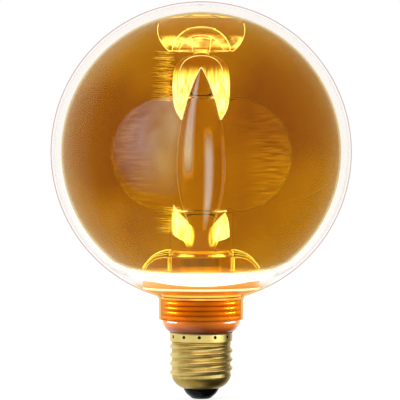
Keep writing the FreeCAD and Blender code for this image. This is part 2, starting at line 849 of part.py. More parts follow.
def insulator():
    """The black glass insulator: a rounded button under the cap with a plug inside it."""
    bore = eyelet_radius + seat_gap
    top = z_cap_foot + insulator_plug_height
    foot, shoulder = (contact_radius + contact_lip, contact_height), (dome_mouth_radius, z_cap_foot - seat_gap)
    edges = [line((bore, contact_height), foot), bowed(foot, shoulder, insulator_bulge)]
    edges += path(shoulder, (insulator_plug_radius, shoulder[1]), (insulator_plug_radius, top), (bore, top))
    return turned(edges + [line((bore, top), (bore, contact_height))])


def centre_contact():
    """The centre contact: a flat-faced button with an eyelet riveted through the insulator."""
    rivet = z_cap_foot + insulator_plug_height
    flange = rivet + eyelet_flange_height
    edges = path((0, eyelet_floor), (0, 0), (contact_face_radius, 0))
    shoulder = contact_radius, contact_height - contact_lip
    edges.append(bowed((contact_face_radius, 0), shoulder, contact_lip))
    edges += path(shoulder, (contact_radius, contact_height), (eyelet_radius, contact_height))
    edges += path((eyelet_radius, contact_height), (eyelet_radius, rivet), (eyelet_flange_radius, rivet))
    edges += path((eyelet_flange_radius, rivet), (eyelet_flange_radius, flange), (eyelet_bore_radius, flange))
    edges += path((eyelet_bore_radius, flange), (eyelet_bore_radius, eyelet_floor), (0, eyelet_floor))
    return turned(edges)


# Driver
def back_y(depth):
    """Middle of a part of this depth that stands on the back of the driver board."""
    return driver_thickness / 2 + part_gap + depth / 2


def driver_board():
    """The driver board, upright between its rails."""
    return block(driver_width, driver_thickness, driver_height, 0, 0, z_driver)


def pin_to_board(x, y, z):
    """A short pin from a part's foot that bends back onto the board."""
    face = driver_thickness / 2 + part_gap
    return lead([(x, y, z + 0.2), (x, y, z - 1.2), (x, face, z - 1.2)], fuse_lead_radius)


def electrolytic_can():
    """The electrolytic capacitor: an upright can with a rolled groove and two pins."""
    z, y = z_driver + can_above_foot, back_y(2 * can_radius)
    edges = path((0, z), (can_radius - can_groove, z), (can_radius, z + can_groove), (can_radius, z + 1.6))
    edges.append(bowed((can_radius, z + 2.4), (can_radius, z + 1.6), can_groove))
    top = z + can_length
    edges += path((can_radius, z + 2.4), (can_radius, top - can_groove), (can_radius - can_groove, top))
    edges += path((can_radius - can_groove, top), (0, top), (0, z))
    can = turned(edges)
    can.translate(V(can_x, y, 0))
    for side in (-1, 1):
        can = can.fuse(pin_to_board(can_x + side * can_radius / 3, y, z))
    return can


def drum_core():
    """The ferrite drum of the choke."""
    z, y = z_driver + drum_above_foot, back_y(2 * drum_radius)
    top = z + drum_length
    parts = [rod(drum_radius, z, z + drum_flange, drum_x, y), rod(drum_radius, top - drum_flange, top, drum_x, y)]
    return rod(drum_core_radius, z, top, drum_x, y).fuse(parts).removeSplitter()


def winding():
    """The copper winding on the drum, with a ridge for each row of wire."""
    z = z_driver + drum_above_foot + drum_flange
    rows = 8
    pitch = (drum_length - 2 * drum_flange) / rows
    outer = drum_radius - 0.35
    edges = [bowed((outer, z + i * pitch), (outer, z + (i + 1) * pitch), pitch / 4) for i in range(rows)]
    top = z + rows * pitch
    edges += path((outer, top), (drum_core_radius, top), (drum_core_radius, z), (outer, z))
    coil = turned(edges)
    coil.translate(V(drum_x, back_y(2 * drum_radius), 0))
    return coil


def film_capacitor():
    """The boxed film capacitor, with its long edges rounded."""
    z = z_driver + film_above_foot
    body = block(film_width, film_depth, film_height, film_x, back_y(film_depth), z)
    upright = [e for e in body.Edges if abs(e.Length - film_height) < 1e-6]
    return body.makeFillet(0.6, upright)


def legged_chip(width, depth, height, x, z, legs):
    """A moulded chip on the front of the board with gull-wing legs at both of its ends."""
    y = -back_y(depth)
    body = block(width, depth, height, x, y, z)
    foot_y = -(driver_thickness / 2 + part_gap + leg_thickness / 2)
    for i in range(legs):
        leg_x = x + (i - (legs - 1) / 2) * leg_pitch
        foot = block(leg_width, leg_thickness, height + 2 * leg_reach, leg_x, foot_y, z - leg_reach)
        body = body.fuse(foot)
    return body.removeSplitter()


def bridge_rectifier():
    """The bridge rectifier."""
    return legged_chip(bridge_width, bridge_depth, bridge_height, bridge_x, z_driver + bridge_above_foot, 2)


def driver_chip():
    """The driver chip."""
    return legged_chip(chip_width, chip_depth, chip_height, chip_x, z_driver + chip_above_foot, 3)


def fusible_resistor():
    """The fusible resistor: a waisted body with a lead bent onto the board at each end."""
    z, y = z_driver + fuse_above_foot, -back_y(2 * fuse_radius)
    waist = fuse_radius * 0.8
    low, high = z + fuse_length * 0.28, z + fuse_length * 0.72
    edges = path((0, z), (waist, z)) + [bowed((waist, z), (waist, low), fuse_radius - waist)]
    edges += [line((waist, low), (waist, high)), bowed((waist, high), (waist, z + fuse_length), fuse_radius - waist)]
    edges += path((waist, z + fuse_length), (0, z + fuse_length), (0, z))
    body = turned(edges)
    body.translate(V(fuse_x, y, 0))
    face = -(driver_thickness / 2 + part_gap)
    for end, away in ((z, -1), (z + fuse_length, 1)):
        turn = end + away * 1.2
        body = body.fuse(lead([(fuse_x, y, end - away * 0.2), (fuse_x, y, turn), (fuse_x, face, turn)], fuse_lead_radius))
    return body


def chip_resistor(index):
    """One chip resistor on the front of the driver board."""
    z = z_driver + resistor_above_foot + index * resistor_pitch
    return block(resistor_width, resistor_depth, resistor_height, resistor_x, -back_y(resistor_depth), z)


# Leads
def led_lead(side):
    """A lead from the driver board, through the heat sink, to a solder joint on the LED board."""
    x, y = lead_places()[0 if side > 0 else 1]
    start_y = side * (driver_thickness / 2 + lead_wire_radius + part_gap)
    bend = z_driver_top + 0.8
    points = [(x, start_y, bend - 3.2), (x, start_y, bend), (x, y, bend + 2.4), (x, y, z_board_top + 0.3)]
    joint = Part.makeCone(solder_radius, lead_wire_radius, solder_height, V(x, y, z_board_top))
    return lead(points, lead_wire_radius).fuse(joint)


def live_lead():
    """The lead from the driver board down into the eyelet of the centre contact."""
    y = driver_thickness / 2 + cap_wire_radius + part_gap
    eyelet_top = z_cap_foot + insulator_plug_height + eyelet_flange_height
    points = [(0, y, z_driver + 1.2), (0, y, eyelet_top + 1.5), (0, 0, eyelet_top + 0.6), (0, 0, eyelet_floor)]
    return lead(points, cap_wire_radius)


def side_lead():
    """The lead from the driver board out to the wall of the screw cap."""
    y = -(driver_thickness / 2 + cap_wire_radius + part_gap)
    z = z_driver + side_lead_above_foot
    x = side_lead_from_edge - driver_width / 2
    reach = thread_radius(180, z) - sheet - slide_gap
    return lead([(x, y, z + side_lead_rise), (x, y, z), (-reach, y, z)], cap_wire_radius)


nodes = {
    "outer_globe": outer_globe,
    "light_guide": lambda: hollow_ball(0, guide_inset),
    "amber_globe": lambda: hollow_ball(amber_inset, inside_inset),
    "spacer_ring": spacer_ring,
    "seat_collar": seat_collar,
    "light_column": light_column,
    "flare": flare,
    "bubble": bubble,
    "lower_petals": lower_petals,
    "upper_petals": upper_petals,
    "crown_lens": crown_lens,
    "base_cup": base_cup,
    "neck_seal": neck_seal,
    "heat_sink": heat_sink,
    "led_board": led_board,
    "column_emitter": column_emitter,
    "reflector": reflector,
    "screw_cap": screw_cap,
    "cement_ring": cement_ring,
    "insulator": insulator,
    "centre_contact": centre_contact,
    "driver_board": driver_board,
    "electrolytic_can": electrolytic_can,
    "drum_core": drum_core,
    "winding": winding,
    "film_capacitor": film_capacitor,
    "bridge_rectifier": bridge_rectifier,
    "driver_chip": driver_chip,
    "fusible_resistor": fusible_resistor,
    "led_lead_plus": lambda: led_lead(1),
    "led_lead_minus": lambda: led_lead(-1),
    "live_lead": live_lead,
    "side_lead": side_lead,
}

os.makedirs("parts", exist_ok=True)
for name, make in nodes.items():
    make().exportStep(f"parts/{name}.step")
for i in range(led_count):
    led(360 / led_count * i).exportStep(f"parts/led_{i + 1:02d}.step")
for i, (x, y) in enumerate(screw_places()):
    board_screw(x, y).exportStep(f"parts/board_screw_{i + 1}.step")
for i in range(resistor_count):
    chip_resistor(i).exportStep(f"parts/chip_resistor_{i + 1}.step")
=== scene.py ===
"""Looks of a lit decorative globe bulb: clear ball, glowing ring, amber ball with a flame, brass cap."""

import logging
import math
import random
from collections import defaultdict
from collections.abc import Callable
from dataclasses import dataclass
from enum import Enum

import bmesh
import bpy
from bpy.types import Material, Node, NodeSocket, NodeTree, Object
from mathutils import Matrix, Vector


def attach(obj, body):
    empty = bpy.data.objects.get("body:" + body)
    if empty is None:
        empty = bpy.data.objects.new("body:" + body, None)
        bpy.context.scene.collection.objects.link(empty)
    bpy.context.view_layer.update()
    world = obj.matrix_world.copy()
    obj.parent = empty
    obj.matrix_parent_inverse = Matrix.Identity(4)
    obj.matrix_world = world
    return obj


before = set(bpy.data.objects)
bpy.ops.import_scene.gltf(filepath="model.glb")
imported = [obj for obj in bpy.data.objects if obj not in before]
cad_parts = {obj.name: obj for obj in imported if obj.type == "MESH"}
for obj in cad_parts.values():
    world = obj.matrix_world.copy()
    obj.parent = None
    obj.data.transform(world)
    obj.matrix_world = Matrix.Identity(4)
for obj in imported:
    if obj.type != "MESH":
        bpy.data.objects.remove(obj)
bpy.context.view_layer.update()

LOG = logging.getLogger("globe_bulb")
MADE: dict[str, Material] = {}
Input = Node | NodeSocket | float | str  # what a node's input takes: a link, a value or a hex colour
MM = 0.001  # metres in a millimetre
BODY = "root"
GLOBE_CENTRE = Vector((0.0, 0.0, 0.1025))
WELD_MM = 0.002  # points of a mesh closer than this are one point
SHARP = 0.6  # radians between two faces that meet in a crease


# Nodes and colours
def linear(hex_colour: str) -> tuple[float, float, float, float]:
    """Turn an sRGB colour into linear light.

    Args:
        hex_colour: The colour as #RRGGBB.

    Returns:
        Linear red, green, blue and an alpha of 1.
    """
    shares = [int(hex_colour[i : i + 2], 16) / 255 for i in (1, 3, 5)]
    red, green, blue = [s / 12.92 if s <= 0.04045 else ((s + 0.055) / 1.055) ** 2.4 for s in shares]
    return red, green, blue, 1.0


def add_node(tree: NodeTree, kind: str, sockets: dict | None = None, **settings) -> Node:
    """Add a node with its settings and links.

    Args:
        tree: The node tree that gets the node.
        kind: The node's type name after ShaderNode.
        sockets: For each input, by name or number, a value, a hex colour, a socket or a node to link from.
        **settings: The node's own properties.

    Returns:
        The new node.
    """
    node = tree.nodes.new(f"ShaderNode{kind}")
    for name, value in settings.items():
        setattr(node, name, value)
    for name, value in (sockets or {}).items():
        if isinstance(value, Node):
            value = value.outputs[0]
        if isinstance(value, NodeSocket):
            tree.links.new(value, node.inputs[name])
        else:
            node.inputs[name].default_value = linear(value) if isinstance(value, str) else value
    return node


# Patterns in real sizes
@dataclass(frozen=True)
class Place:
    """Where a point of the surface lies on the bulb, in millimetres, and its angle round the axis."""

    x: NodeSocket
    y: NodeSocket
    z: NodeSocket
    radius: NodeSocket
    angle: NodeSocket


def place_in(tree: NodeTree) -> Place:
    """Read the place of a point on the bulb.

    Args:
        tree: The node tree.

    Returns:
        The place. The angle is 0 at the front and grows to the right, in degrees.
    """
    point = add_node(tree, "TexCoord").outputs["Object"]
    scaled = add_node(tree, "VectorMath", {0: point, 3: 1 / MM}, operation="SCALE")
    x, y, z = add_node(tree, "SeparateXYZ", {0: scaled}).outputs
    flat = add_node(tree, "VectorMath", {0: scaled, 1: (1.0, 1.0, 0.0)}, operation="MULTIPLY")
    radius = add_node(tree, "VectorMath", {0: flat}, operation="LENGTH").outputs["Value"]
    front = add_node(tree, "Math", {0: y, 1: -1.0}, operation="MULTIPLY")
    turn = add_node(tree, "Math", {0: x, 1: front}, operation="ARCTAN2")
    angle = add_node(tree, "Math", {0: turn}, operation="DEGREES")
    return Place(x, y, z, radius, angle.outputs[0])


@dataclass(frozen=True)
class Band:
    """A stretch between two marks and how far it fades out past them, in mm where nothing else is said."""

    low: float
    high: float
    soft: float

    def mask(self, tree: NodeTree, value: NodeSocket) -> NodeSocket:
        """Mark where a value lies in the band.

        Args:
            tree: The node tree.
            value: The value that is tested.

        Returns:
            The mask: 1 inside the band, and 0 away from it.
        """
        half = (self.high - self.low) / 2
        off = add_node(tree, "Math", {0: value, 1: (self.low + self.high) / 2}, operation="SUBTRACT")
        away = add_node(tree, "Math", {0: off}, operation="ABSOLUTE")
        fade = {"Value": away, "From Min": half + self.soft, "From Max": half}
        return add_node(tree, "MapRange", fade, interpolation_type="SMOOTHSTEP").outputs[0]


def mottle(
    tree: NodeTree,
    size_mm: float,
    stretch: tuple[float, float, float] = (1.0, 1.0, 1.0),
    detail: float = 2.0,
) -> NodeSocket:
    """Soft random patches of a real size.

    Args:
        tree: The node tree.
        size_mm: How wide a patch is.
        stretch: How many times longer it is along X, Y and Z.
        detail: How many finer layers it has.

    Returns:
        The pattern, from 0 to 1.
    """
    point = add_node(tree, "TexCoord").outputs["Object"]
    scale = [1 / (size_mm * MM * times) for times in stretch]
    cells = add_node(tree, "VectorMath", {0: point, 1: scale}, operation="MULTIPLY")
    noise = add_node(tree, "TexNoise", {"Vector": cells, "Scale": 1.0, "Detail": detail})
    return noise.outputs[0]


def overlap(tree: NodeTree, *masks: Input) -> Input:
    """Find where all of several masks lie.

    Args:
        tree: The node tree.
        *masks: The masks.

    Returns:
        Their product.
    """
    shared = masks[0]
    for mask in masks[1:]:
        shared = add_node(tree, "Math", {0: shared, 1: mask}, operation="MULTIPLY").outputs[0]
    return shared


def added(tree: NodeTree, level: Input, *parts: tuple[Input, float]) -> Input:
    """Raise a level where masks say.

    Args:
        tree: The node tree.
        level: The level to start from.
        *parts: Each mask and how much it adds.

    Returns:
        The sum.
    """
    for mask, gain in parts:
        sums = {0: mask, 1: gain, 2: level}
        level = add_node(tree, "Math", sums, operation="MULTIPLY_ADD").outputs[0]
    return level


def painted(tree: NodeTree, colour: Input, *coats: tuple[Input, Input]) -> Input:
    """Lay colours over a first one, each where its mask says.

    Args:
        tree: The node tree.
        colour: The first colour.
        *coats: Each mask and the colour that it lays on.

    Returns:
        The mixed colour.
    """
    for mask, coat in coats:
        shades = {"Factor": mask, 6: colour, 7: coat}
        colour = add_node(tree, "Mix", shades, data_type="RGBA").outputs[2]
    return colour


# Shaders that several finishes share
@dataclass(frozen=True)
class Film:
    """A mirror film: its roughness, its share seen straight on, and the share that it gains edge on."""

    roughness: float
    straight: float
    grazing: float
    power: float = 3.0  # how late that gain comes
    colour: str = "#FFFFFF"

    def over(self, tree: NodeTree, under: Node, where: Input | None = None) -> Node:
        """Lay the film over a shader.

        Args:
            tree: The node tree.
            under: The shader under the film.
            where: How much of the film is there; none means all of it everywhere.

        Returns:
            The mix shader node.
        """
        gloss = add_node(tree, "BsdfGlossy", {"Color": self.colour, "Roughness": self.roughness})
        facing = add_node(tree, "LayerWeight", {"Blend": 0.5}).outputs["Facing"]
        steep = add_node(tree, "Math", {0: facing, 1: self.power}, operation="POWER")
        share = added(tree, self.straight, (steep, self.grazing))
        if where is not None:
            share = overlap(tree, share, where)
        return add_node(tree, "MixShader", {0: share, 1: under, 2: gloss})


def lit_glass(
    tree: NodeTree,
    tint: str,
    ior: float,
    light: Input,
    glow: Input,
    body: Input | None = None,
    roughness: float = 0.0,
) -> Node:
    """Make refracting glass with light in it, which lets lamp light through as a clear film would.

    Args:
        tree: The node tree.
        tint: The glass's colour, and the colour that lamp light takes in it.
        ior: How strongly it refracts.
        light: The colour of the light in it.
        glow: How strong that light is.
        body: The glass's colour where that is a pattern.
        roughness: How cloudy it is.

    Returns:
        The mix shader node.
    """
    sockets = {"Base Color": tint if body is None else body, "Roughness": roughness, "IOR": ior}
    sockets |= {"Transmission Weight": 1.0, "Emission Color": light, "Emission Strength": glow}
    glass = add_node(tree, "BsdfPrincipled", sockets)
    film = add_node(tree, "BsdfTransparent", {"Color": tint})
    path = add_node(tree, "LightPath")
    return add_node(tree, "MixShader", {0: path.outputs["Is Shadow Ray"], 1: glass, 2: film})


# Finishes. The amber ball takes nearly all the blue out of the light that shines through it, so the lights
# inside it are written in bluish whites, which come out pale yellow, or a greyish lavender where bluest.
@dataclass(frozen=True)
class Finish:
    """A material of one name, made once and shared by the pieces that have it."""

    name: str

    def shader(self, tree: NodeTree) -> Node:
        """The node whose first output is the finish's surface."""
        raise NotImplementedError

    def material(self) -> Material:
        """Make the material, or find it if it is made.

        Returns:
            The Blender material.
        """
        made = MADE.get(self.name)
        if made is None:
            made = MADE[self.name] = bpy.data.materials.new(self.name)
            made.use_nodes = True
            made.node_tree.nodes.clear()
            surface = self.shader(made.node_tree)
            add_node(made.node_tree, "OutputMaterial", {"Surface": surface})
        return made


@dataclass(frozen=True)
class BlownGlobeGlass(Finish):
    """Blown soda-lime glass: a thin pinkish line where seen edge on, and stained amber at its neck."""

    name: str = "blown_clear_glass"
    face: str = "#FFFEFD"
    edge: str = "#DDBDB6"
    stain: str = "#F4D89A"
    edge_from: float = 0.87
    edge_full: float = 0.93
    outer_skin: Band = Band(62.1, 200.0, 0.1)  # mm from the ball's centre
    stained: Band = Band(0.0, 44.4, 5.5)  # mm up the bulb
    stain_mm: float = 6.0
    stain_sway: float = 2.0
    film: Film = Film(0.12, 0.008, 0.15)

    def shader(self, tree: NodeTree) -> Node:
        """See-through glass with a tinted edge, a stained neck and a thin mirror film outside.

        Args:
            tree: The material's node tree.

        Returns:
            The surface's node.
        """
        at = place_in(tree)
        point = add_node(tree, "CombineXYZ", {0: at.x, 1: at.y, 2: at.z})
        ends = {0: point, 1: GLOBE_CENTRE / MM}
        reach = add_node(tree, "VectorMath", ends, operation="DISTANCE")
        outside = self.outer_skin.mask(tree, reach.outputs["Value"])
        facing = add_node(tree, "LayerWeight", {"Blend": 0.5}).outputs["Facing"]
        turned = {"Value": facing, "From Min": self.edge_from, "From Max": self.edge_full}
        rim = add_node(tree, "MapRange", turned)
        line = overlap(tree, rim, outside)
        cloud = mottle(tree, self.stain_mm, (2.0, 2.0, 1.0))
        neck = self.stained.mask(tree, added(tree, at.z, (cloud, self.stain_sway)))
        tint = painted(tree, self.face, (line, self.edge), (neck, self.stain))
        clear = add_node(tree, "BsdfTransparent", {"Color": tint})
        return self.film.over(tree, clear, outside)


@dataclass(frozen=True)
class GuideAcrylic(Finish):
    """Cast acrylic, polished: total reflection in its wall makes the white ring at the ball's outline.

    Its IOR is under acrylic's 1.49, so that the wall keeps that ring and lays no grey haze on the ball.
    """

    name: str = "polished_acrylic"
    ior: float = 1.06
    light: str = "#FFFBEA"
    clear: str = "#FFFFFF"
    warm: str = "#FFFCF4"
    flow_mm: float = 14.0
    dish: float = 0.0032  # mm that the lit floor rises outwards, per square mm of radius
    lit_floor: Band = Band(0.0, 47.4, 0.5)
    glow: float = 0.9

    def shader(self, tree: NodeTree) -> Node:
        """Clear refracting acrylic that glows where the LEDs shine into its floor.

        Args:
            tree: The material's node tree.

        Returns:
            The surface's node.
        """
        at = place_in(tree)
        square = overlap(tree, at.radius, at.radius)
        lit = self.lit_floor.mask(tree, added(tree, at.z, (square, -self.dish)))
        flow = mottle(tree, self.flow_mm, (1.0, 1.0, 4.0))
        body = painted(tree, self.clear, (flow, self.warm))
        glow = overlap(tree, lit, self.glow)
        return lit_glass(tree, self.clear, self.ior, self.light, glow, body)


@dataclass(frozen=True)
class AmberGlass(Finish):
    """Blown amber glass: brown where seen straight through and in soft clouds, darker brown in painted dark
    reflections at two fixed places, and golden towards its rim by painted light.
    """

    name: str = "blown_amber_glass"
    brown: str = "#DABB8C"
    gold: str = "#ECD684"
    # painted light: the rim colour, laid where the glass is seen edge on
    rim: str = "#EEDC86"
    rim_light_power: float = 1.2
    # painted dark reflections: darker brown patches round two fixed places
    dark_reflection_places: tuple[tuple[float, float, float], ...] = ((40.0, 0.0, 124.0), (-42.0, 0.0, 108.0))
    dark_reflection_reach: Band = Band(-1.0, 8.0, 26.0)
    dark_reflection_gain: float = 0.85
    cloud_mm: float = 20.0
    cloud_gain: float = 1.3
    cloud_start: float = -0.25
    film: Film = Film(0.2, 0.0, 0.12, 5.0)

    def shader(self, tree: NodeTree) -> Node:
        """Tinted see-through glass with a thin mirror film.

        Args:
            tree: The material's node tree.

        Returns:
            The surface's node.
        """
        at = place_in(tree)
        side = add_node(tree, "CombineXYZ", {0: at.x, 1: 0.0, 2: at.z})
        reflection_zones = {}
        for index, middle in enumerate(self.dark_reflection_places):
            away = add_node(tree, "VectorMath", {0: side, 1: middle}, operation="DISTANCE")
            reflection_zones[index] = self.dark_reflection_reach.mask(tree, away.outputs["Value"])
        reflection_zone = add_node(tree, "Math", reflection_zones, operation="MAXIMUM")
        clouds = mottle(tree, self.cloud_mm, (1.0, 1.0, 1.6), 1.0)
        deep = added(tree, self.cloud_start, (clouds, self.cloud_gain))
        sums = {0: reflection_zone, 1: self.dark_reflection_gain, 2: deep}
        depth = add_node(tree, "Math", sums, operation="MULTIPLY_ADD", use_clamp=True)
        facing = add_node(tree, "LayerWeight", {"Blend": 0.5}).outputs["Facing"]
        rim_light = add_node(tree, "Math", {0: facing, 1: self.rim_light_power}, operation="POWER")
        # painted dark reflections lay brown at two places, and painted light lays gold at the rim
        tint = painted(tree, self.gold, (depth, self.brown), (rim_light, self.rim))
        clear = add_node(tree, "BsdfTransparent", {"Color": tint})
        return self.film.over(tree, clear)


@dataclass(frozen=True)
class BubbleGlass(Finish):
    """Thin blown glass: two pale round lobes, a painted reflection as a soft glow high at the left, and gold
    threads of painted light outside.

    Its IOR is far under that of glass, so that what lies behind the bubble shows unbent.
    """

    name: str = "thin_blown_glass"
    tint: str = "#FFFDF8"
    ior: float = 1.03
    gold: str = "#DCDC60"
    # painted reflection: a soft glow high at the left, written bluish so that it comes out pale through the
    # amber
    painted_reflection: str = "#4E7CFF"
    painted_reflection_place: tuple[float, float, float] = (-15.0, -24.0, 112.0)
    painted_reflection_reach: Band = Band(-1.0, 4.0, 28.0)
    painted_reflection_side: Band = Band(-60.0, -13.0, 9.0)
    painted_reflection_glow: float = 2.2
    painted_reflection_from: float = 0.1
    haze_mm: float = 9.0
    thread_mm: float = 0.9
    thread_from: float = 0.45
    thread_full: float = 0.7
    thread_side: Band = Band(30.0, 60.0, 14.0)
    thread_glow: float = 0.14
    glow: float = 0.012

    def shader(self, tree: NodeTree) -> Node:
        """Weakly refracting glass with painted light in its wall: a painted reflection high at the left, and
        gold threads outside.

        Args:
            tree: The material's node tree.

        Returns:
            The surface's node.
        """
        at = place_in(tree)
        point = add_node(tree, "CombineXYZ", {0: at.x, 1: at.y, 2: at.z})
        # painted reflection: light round a fixed place high at the left
        away = add_node(tree, "VectorMath", {0: point, 1: self.painted_reflection_place}, operation="DISTANCE")
        near = self.painted_reflection_reach.mask(tree, away.outputs["Value"])
        haze = mottle(tree, self.haze_mm, (1.0, 1.0, 2.0), 1.0)
        left = self.painted_reflection_side.mask(tree, at.x)
        reflection_spot = overlap(tree, near, left)
        painted_reflection = overlap(tree, reflection_spot, haze)
        # painted light: fine gold threads that glow at both sides
        threads = mottle(tree, self.thread_mm, (14.0, 14.0, 1.0), 1.0)
        width = add_node(tree, "Math", {0: at.x}, operation="ABSOLUTE").outputs[0]
        outside = self.thread_side.mask(tree, width)
        steps = {"Value": threads, "From Min": self.thread_from, "From Max": self.thread_full}
        lines = add_node(tree, "MapRange", steps)
        fine = overlap(tree, lines, outside)
        glow = added(tree, self.glow, (fine, self.thread_glow), (painted_reflection, self.painted_reflection_glow))
        pale = add_node(tree, "MapRange", {"Value": reflection_spot, "From Max": self.painted_reflection_from})
        light = painted(tree, self.gold, (pale, self.painted_reflection))
        return lit_glass(tree, self.tint, self.ior, light, glow)


@dataclass(frozen=True)
class ClearCast(Finish):
    """Cast clear glass or plastic with a slight tint, faint flow marks and a little light of its own."""

    tint: str
    flow: str
    ior: float
    light: str = "#FFD98A"
    glow: float = 0.0
    roughness: float = 0.0
    flow_mm: float = 8.0

    def shader(self, tree: NodeTree) -> Node:
        """Refracting glass with a faint even glow.

        Args:
            tree: The material's node tree.

        Returns:
            The surface's node.
        """
        marks = mottle(tree, self.flow_mm, (1.0, 1.0, 2.5))
        body = painted(tree, self.tint, (marks, self.flow))
        return lit_glass(tree, self.tint, self.ior, self.light, self.glow, body, self.roughness)


@dataclass(frozen=True)
class FlameAcrylic(Finish):
    """Cast acrylic, flame polished: a golden body with painted highlights, soft pale streaks down its
    shoulders.
    """

    name: str = "flame_polished_acrylic"
    tint: str = "#FDF7E6"
    ior: float = 1.12
    gold: str = "#F5CE3C"
    # painted highlights: bluish streaks of light at fixed angles and heights, pale through the amber
    streak: str = "#4C72FF"
    high: Band = Band(104.0, 128.0, 14.0)
    low: Band = Band(82.0, 100.0, 14.0)
    left_turn: Band = Band(-39.0, -29.0, 14.0)  # degrees round the axis
    right_turn: Band = Band(15.0, 23.0, 11.0)
    rear_turn: Band = Band(118.0, 126.0, 14.0)
    highlight_glow: float = 5.2
    streak_from: float = 0.2
    silk_mm: float = 1.2
    silk_least: float = 0.75
    silk_most: float = 1.15
    foot: Band = Band(0.0, 60.0, 2.0)
    foot_gain: float = 0.25
    foot_glow: float = 0.12

    def shader(self, tree: NodeTree) -> Node:
        """Refracting acrylic with painted highlights: streaks of light at fixed angles round the axis.

        Args:
            tree: The material's node tree.

        Returns:
            The surface's node.
        """
        at = place_in(tree)
        # painted highlights: where the streaks lie round the axis and up it
        pairs = ((self.left_turn, self.high), (self.right_turn, self.low), (self.rear_turn, self.low))
        left, right, rear = [
            overlap(tree, turn.mask(tree, at.angle), height.mask(tree, at.z)) for turn, height in pairs
        ]
        front = add_node(tree, "Math", {0: left, 1: right}, operation="ADD")
        lit = add_node(tree, "Math", {0: front, 1: rear}, operation="MAXIMUM")
        silk = mottle(tree, self.silk_mm, (1.0, 1.0, 12.0))
        levels = {"Value": silk, "To Min": self.silk_least, "To Max": self.silk_most}
        fine = add_node(tree, "MapRange", levels)
        share = overlap(tree, lit, fine)
        foot = self.foot.mask(tree, at.z)
        bright = add_node(tree, "MapRange", {"Value": silk, "From Min": 0.4, "From Max": 0.65})
        even = added(tree, self.foot_glow, (bright, self.foot_gain))
        rest = overlap(tree, foot, even)
        glow = added(tree, rest, (share, self.highlight_glow))
        pale = add_node(tree, "MapRange", {"Value": share, "From Max": self.streak_from})
        light = painted(tree, self.gold, (pale, self.streak))
        return lit_glass(tree, self.tint, self.ior, light, glow)


@dataclass(frozen=True)
class CrownAcrylic(Finish):
    """Moulded acrylic: a see-through cushion whose lower rim gathers the light in a bright band."""

    name: str = "moulded_acrylic"
    tint: str = "#FFFBEE"
    ior: float = 1.2
    bright: str = "#CCD8F0"
    veil: str = "#E6B48C"
    rim: Band = Band(146.2, 149.2, 1.6)
    outer: Band = Band(13.5, 30.0, 1.8)
    cloud_mm: float = 3.5
    cloud_from: float = 0.35
    cloud_full: float = 0.65
    rim_glow: float = 5.0
    glow: float = 0.06

    def shader(self, tree: NodeTree) -> Node:
        """Refracting acrylic with a glowing rim.

        Args:
            tree: The material's node tree.

        Returns:
            The surface's node.
        """
        at = place_in(tree)
        band = overlap(tree, self.rim.mask(tree, at.z), self.outer.mask(tree, at.radius))
        cloud = mottle(tree, self.cloud_mm, (2.0, 2.0, 1.0))
        steps = {"Value": cloud, "From Min": self.cloud_from, "From Max": self.cloud_full}
        uneven = add_node(tree, "MapRange", steps)
        lit = overlap(tree, band, uneven)
        glow = added(tree, self.glow, (lit, self.rim_glow))
        light = painted(tree, self.veil, (band, self.bright))
        return lit_glass(tree, self.tint, self.ior, light, glow)


@dataclass(frozen=True)
class PetalAcrylic(Finish):
    """Frosted acrylic lit from its foot: white-hot towards the tips, amber brown at its root."""

    name: str = "frosted_acrylic"
    body: str = "#8A4A0A"
    root: str = "#FFC650"
    warm: str = "#F5FFB8"
    hot: str = "#94B4FF"
    heights: Band = Band(112.0, 131.0, 9.0)
    radii: Band = Band(5.5, 40.0, 4.0)
    streak_mm: float = 1.3
    streak_from: float = 0.3
    streak_full: float = 0.6
    streak_least: float = 0.45
    warm_heat: float = 0.4
    hot_glow: float = 10.0
    glow: float = 0.52
    # The petals' hub stands round the flame and glows like the amber behind it
    hub: Band = Band(0.0, 6.0, 0.5)
    hub_light: str = "#D5AC6C"
    hub_glow: float = 0.75
    frost_mm: float = 0.5
    frost_relief_mm: float = 0.05

    def shader(self, tree: NodeTree) -> Node:
        """An amber body that glows in upright streaks.

        Args:
            tree: The material's node tree.

        Returns:
            The surface's node.
        """
        at = place_in(tree)
        streaks = mottle(tree, self.streak_mm, (1.0, 1.0, 7.0))
        steps = {"Value": streaks, "From Min": self.streak_from, "From Max": self.streak_full}
        steps |= {"To Min": self.streak_least}
        ragged = add_node(tree, "MapRange", steps)
        heat = overlap(
            tree, self.heights.mask(tree, at.z), self.radii.mask(tree, at.radius), ragged
        )
        early = add_node(tree, "MapRange", {"Value": heat, "From Max": self.warm_heat})
        late = add_node(tree, "MapRange", {"Value": heat, "From Min": self.warm_heat})
        square = overlap(tree, heat, heat)
        glow = added(tree, self.glow, (square, self.hot_glow))
        hub = self.hub.mask(tree, at.radius)
        level = add_node(tree, "Mix", {"Factor": hub, "A": glow, "B": self.hub_glow})
        light = painted(tree, self.root, (early, self.warm), (late, self.hot), (hub, self.hub_light))
        relief = {"Distance": self.frost_relief_mm * MM, "Height": mottle(tree, self.frost_mm)}
        frost = add_node(tree, "Bump", relief)
        sockets = {"Base Color": self.body, "Roughness": 0.35, "Normal": frost}
        sockets |= {"Emission Color": light, "Emission Strength": level}
        return add_node(tree, "BsdfPrincipled", sockets)


@dataclass(frozen=True)
class LitEdge(Finish):
    """A moulded edge that light leaves: a thin line of uneven strength."""

    light: str
    glow: float
    run_mm: float = 5.0
    least: float = 0.55
    most: float = 1.3
    body: str = "#C88A20"

    def shader(self, tree: NodeTree) -> Node:
        """A glowing line that swells and fades along its run.

        Args:
            tree: The material's node tree.

        Returns:
            The surface's node.
        """
        swell = {"Value": mottle(tree, self.run_mm), "From Min": 0.3, "From Max": 0.7}
        swell |= {"To Min": self.glow * self.least, "To Max": self.glow * self.most}
        level = add_node(tree, "MapRange", swell)
        sockets = {"Base Color": self.body, "Roughness": 0.4}
        sockets |= {"Emission Color": self.light, "Emission Strength": level}
        return add_node(tree, "BsdfPrincipled", sockets)


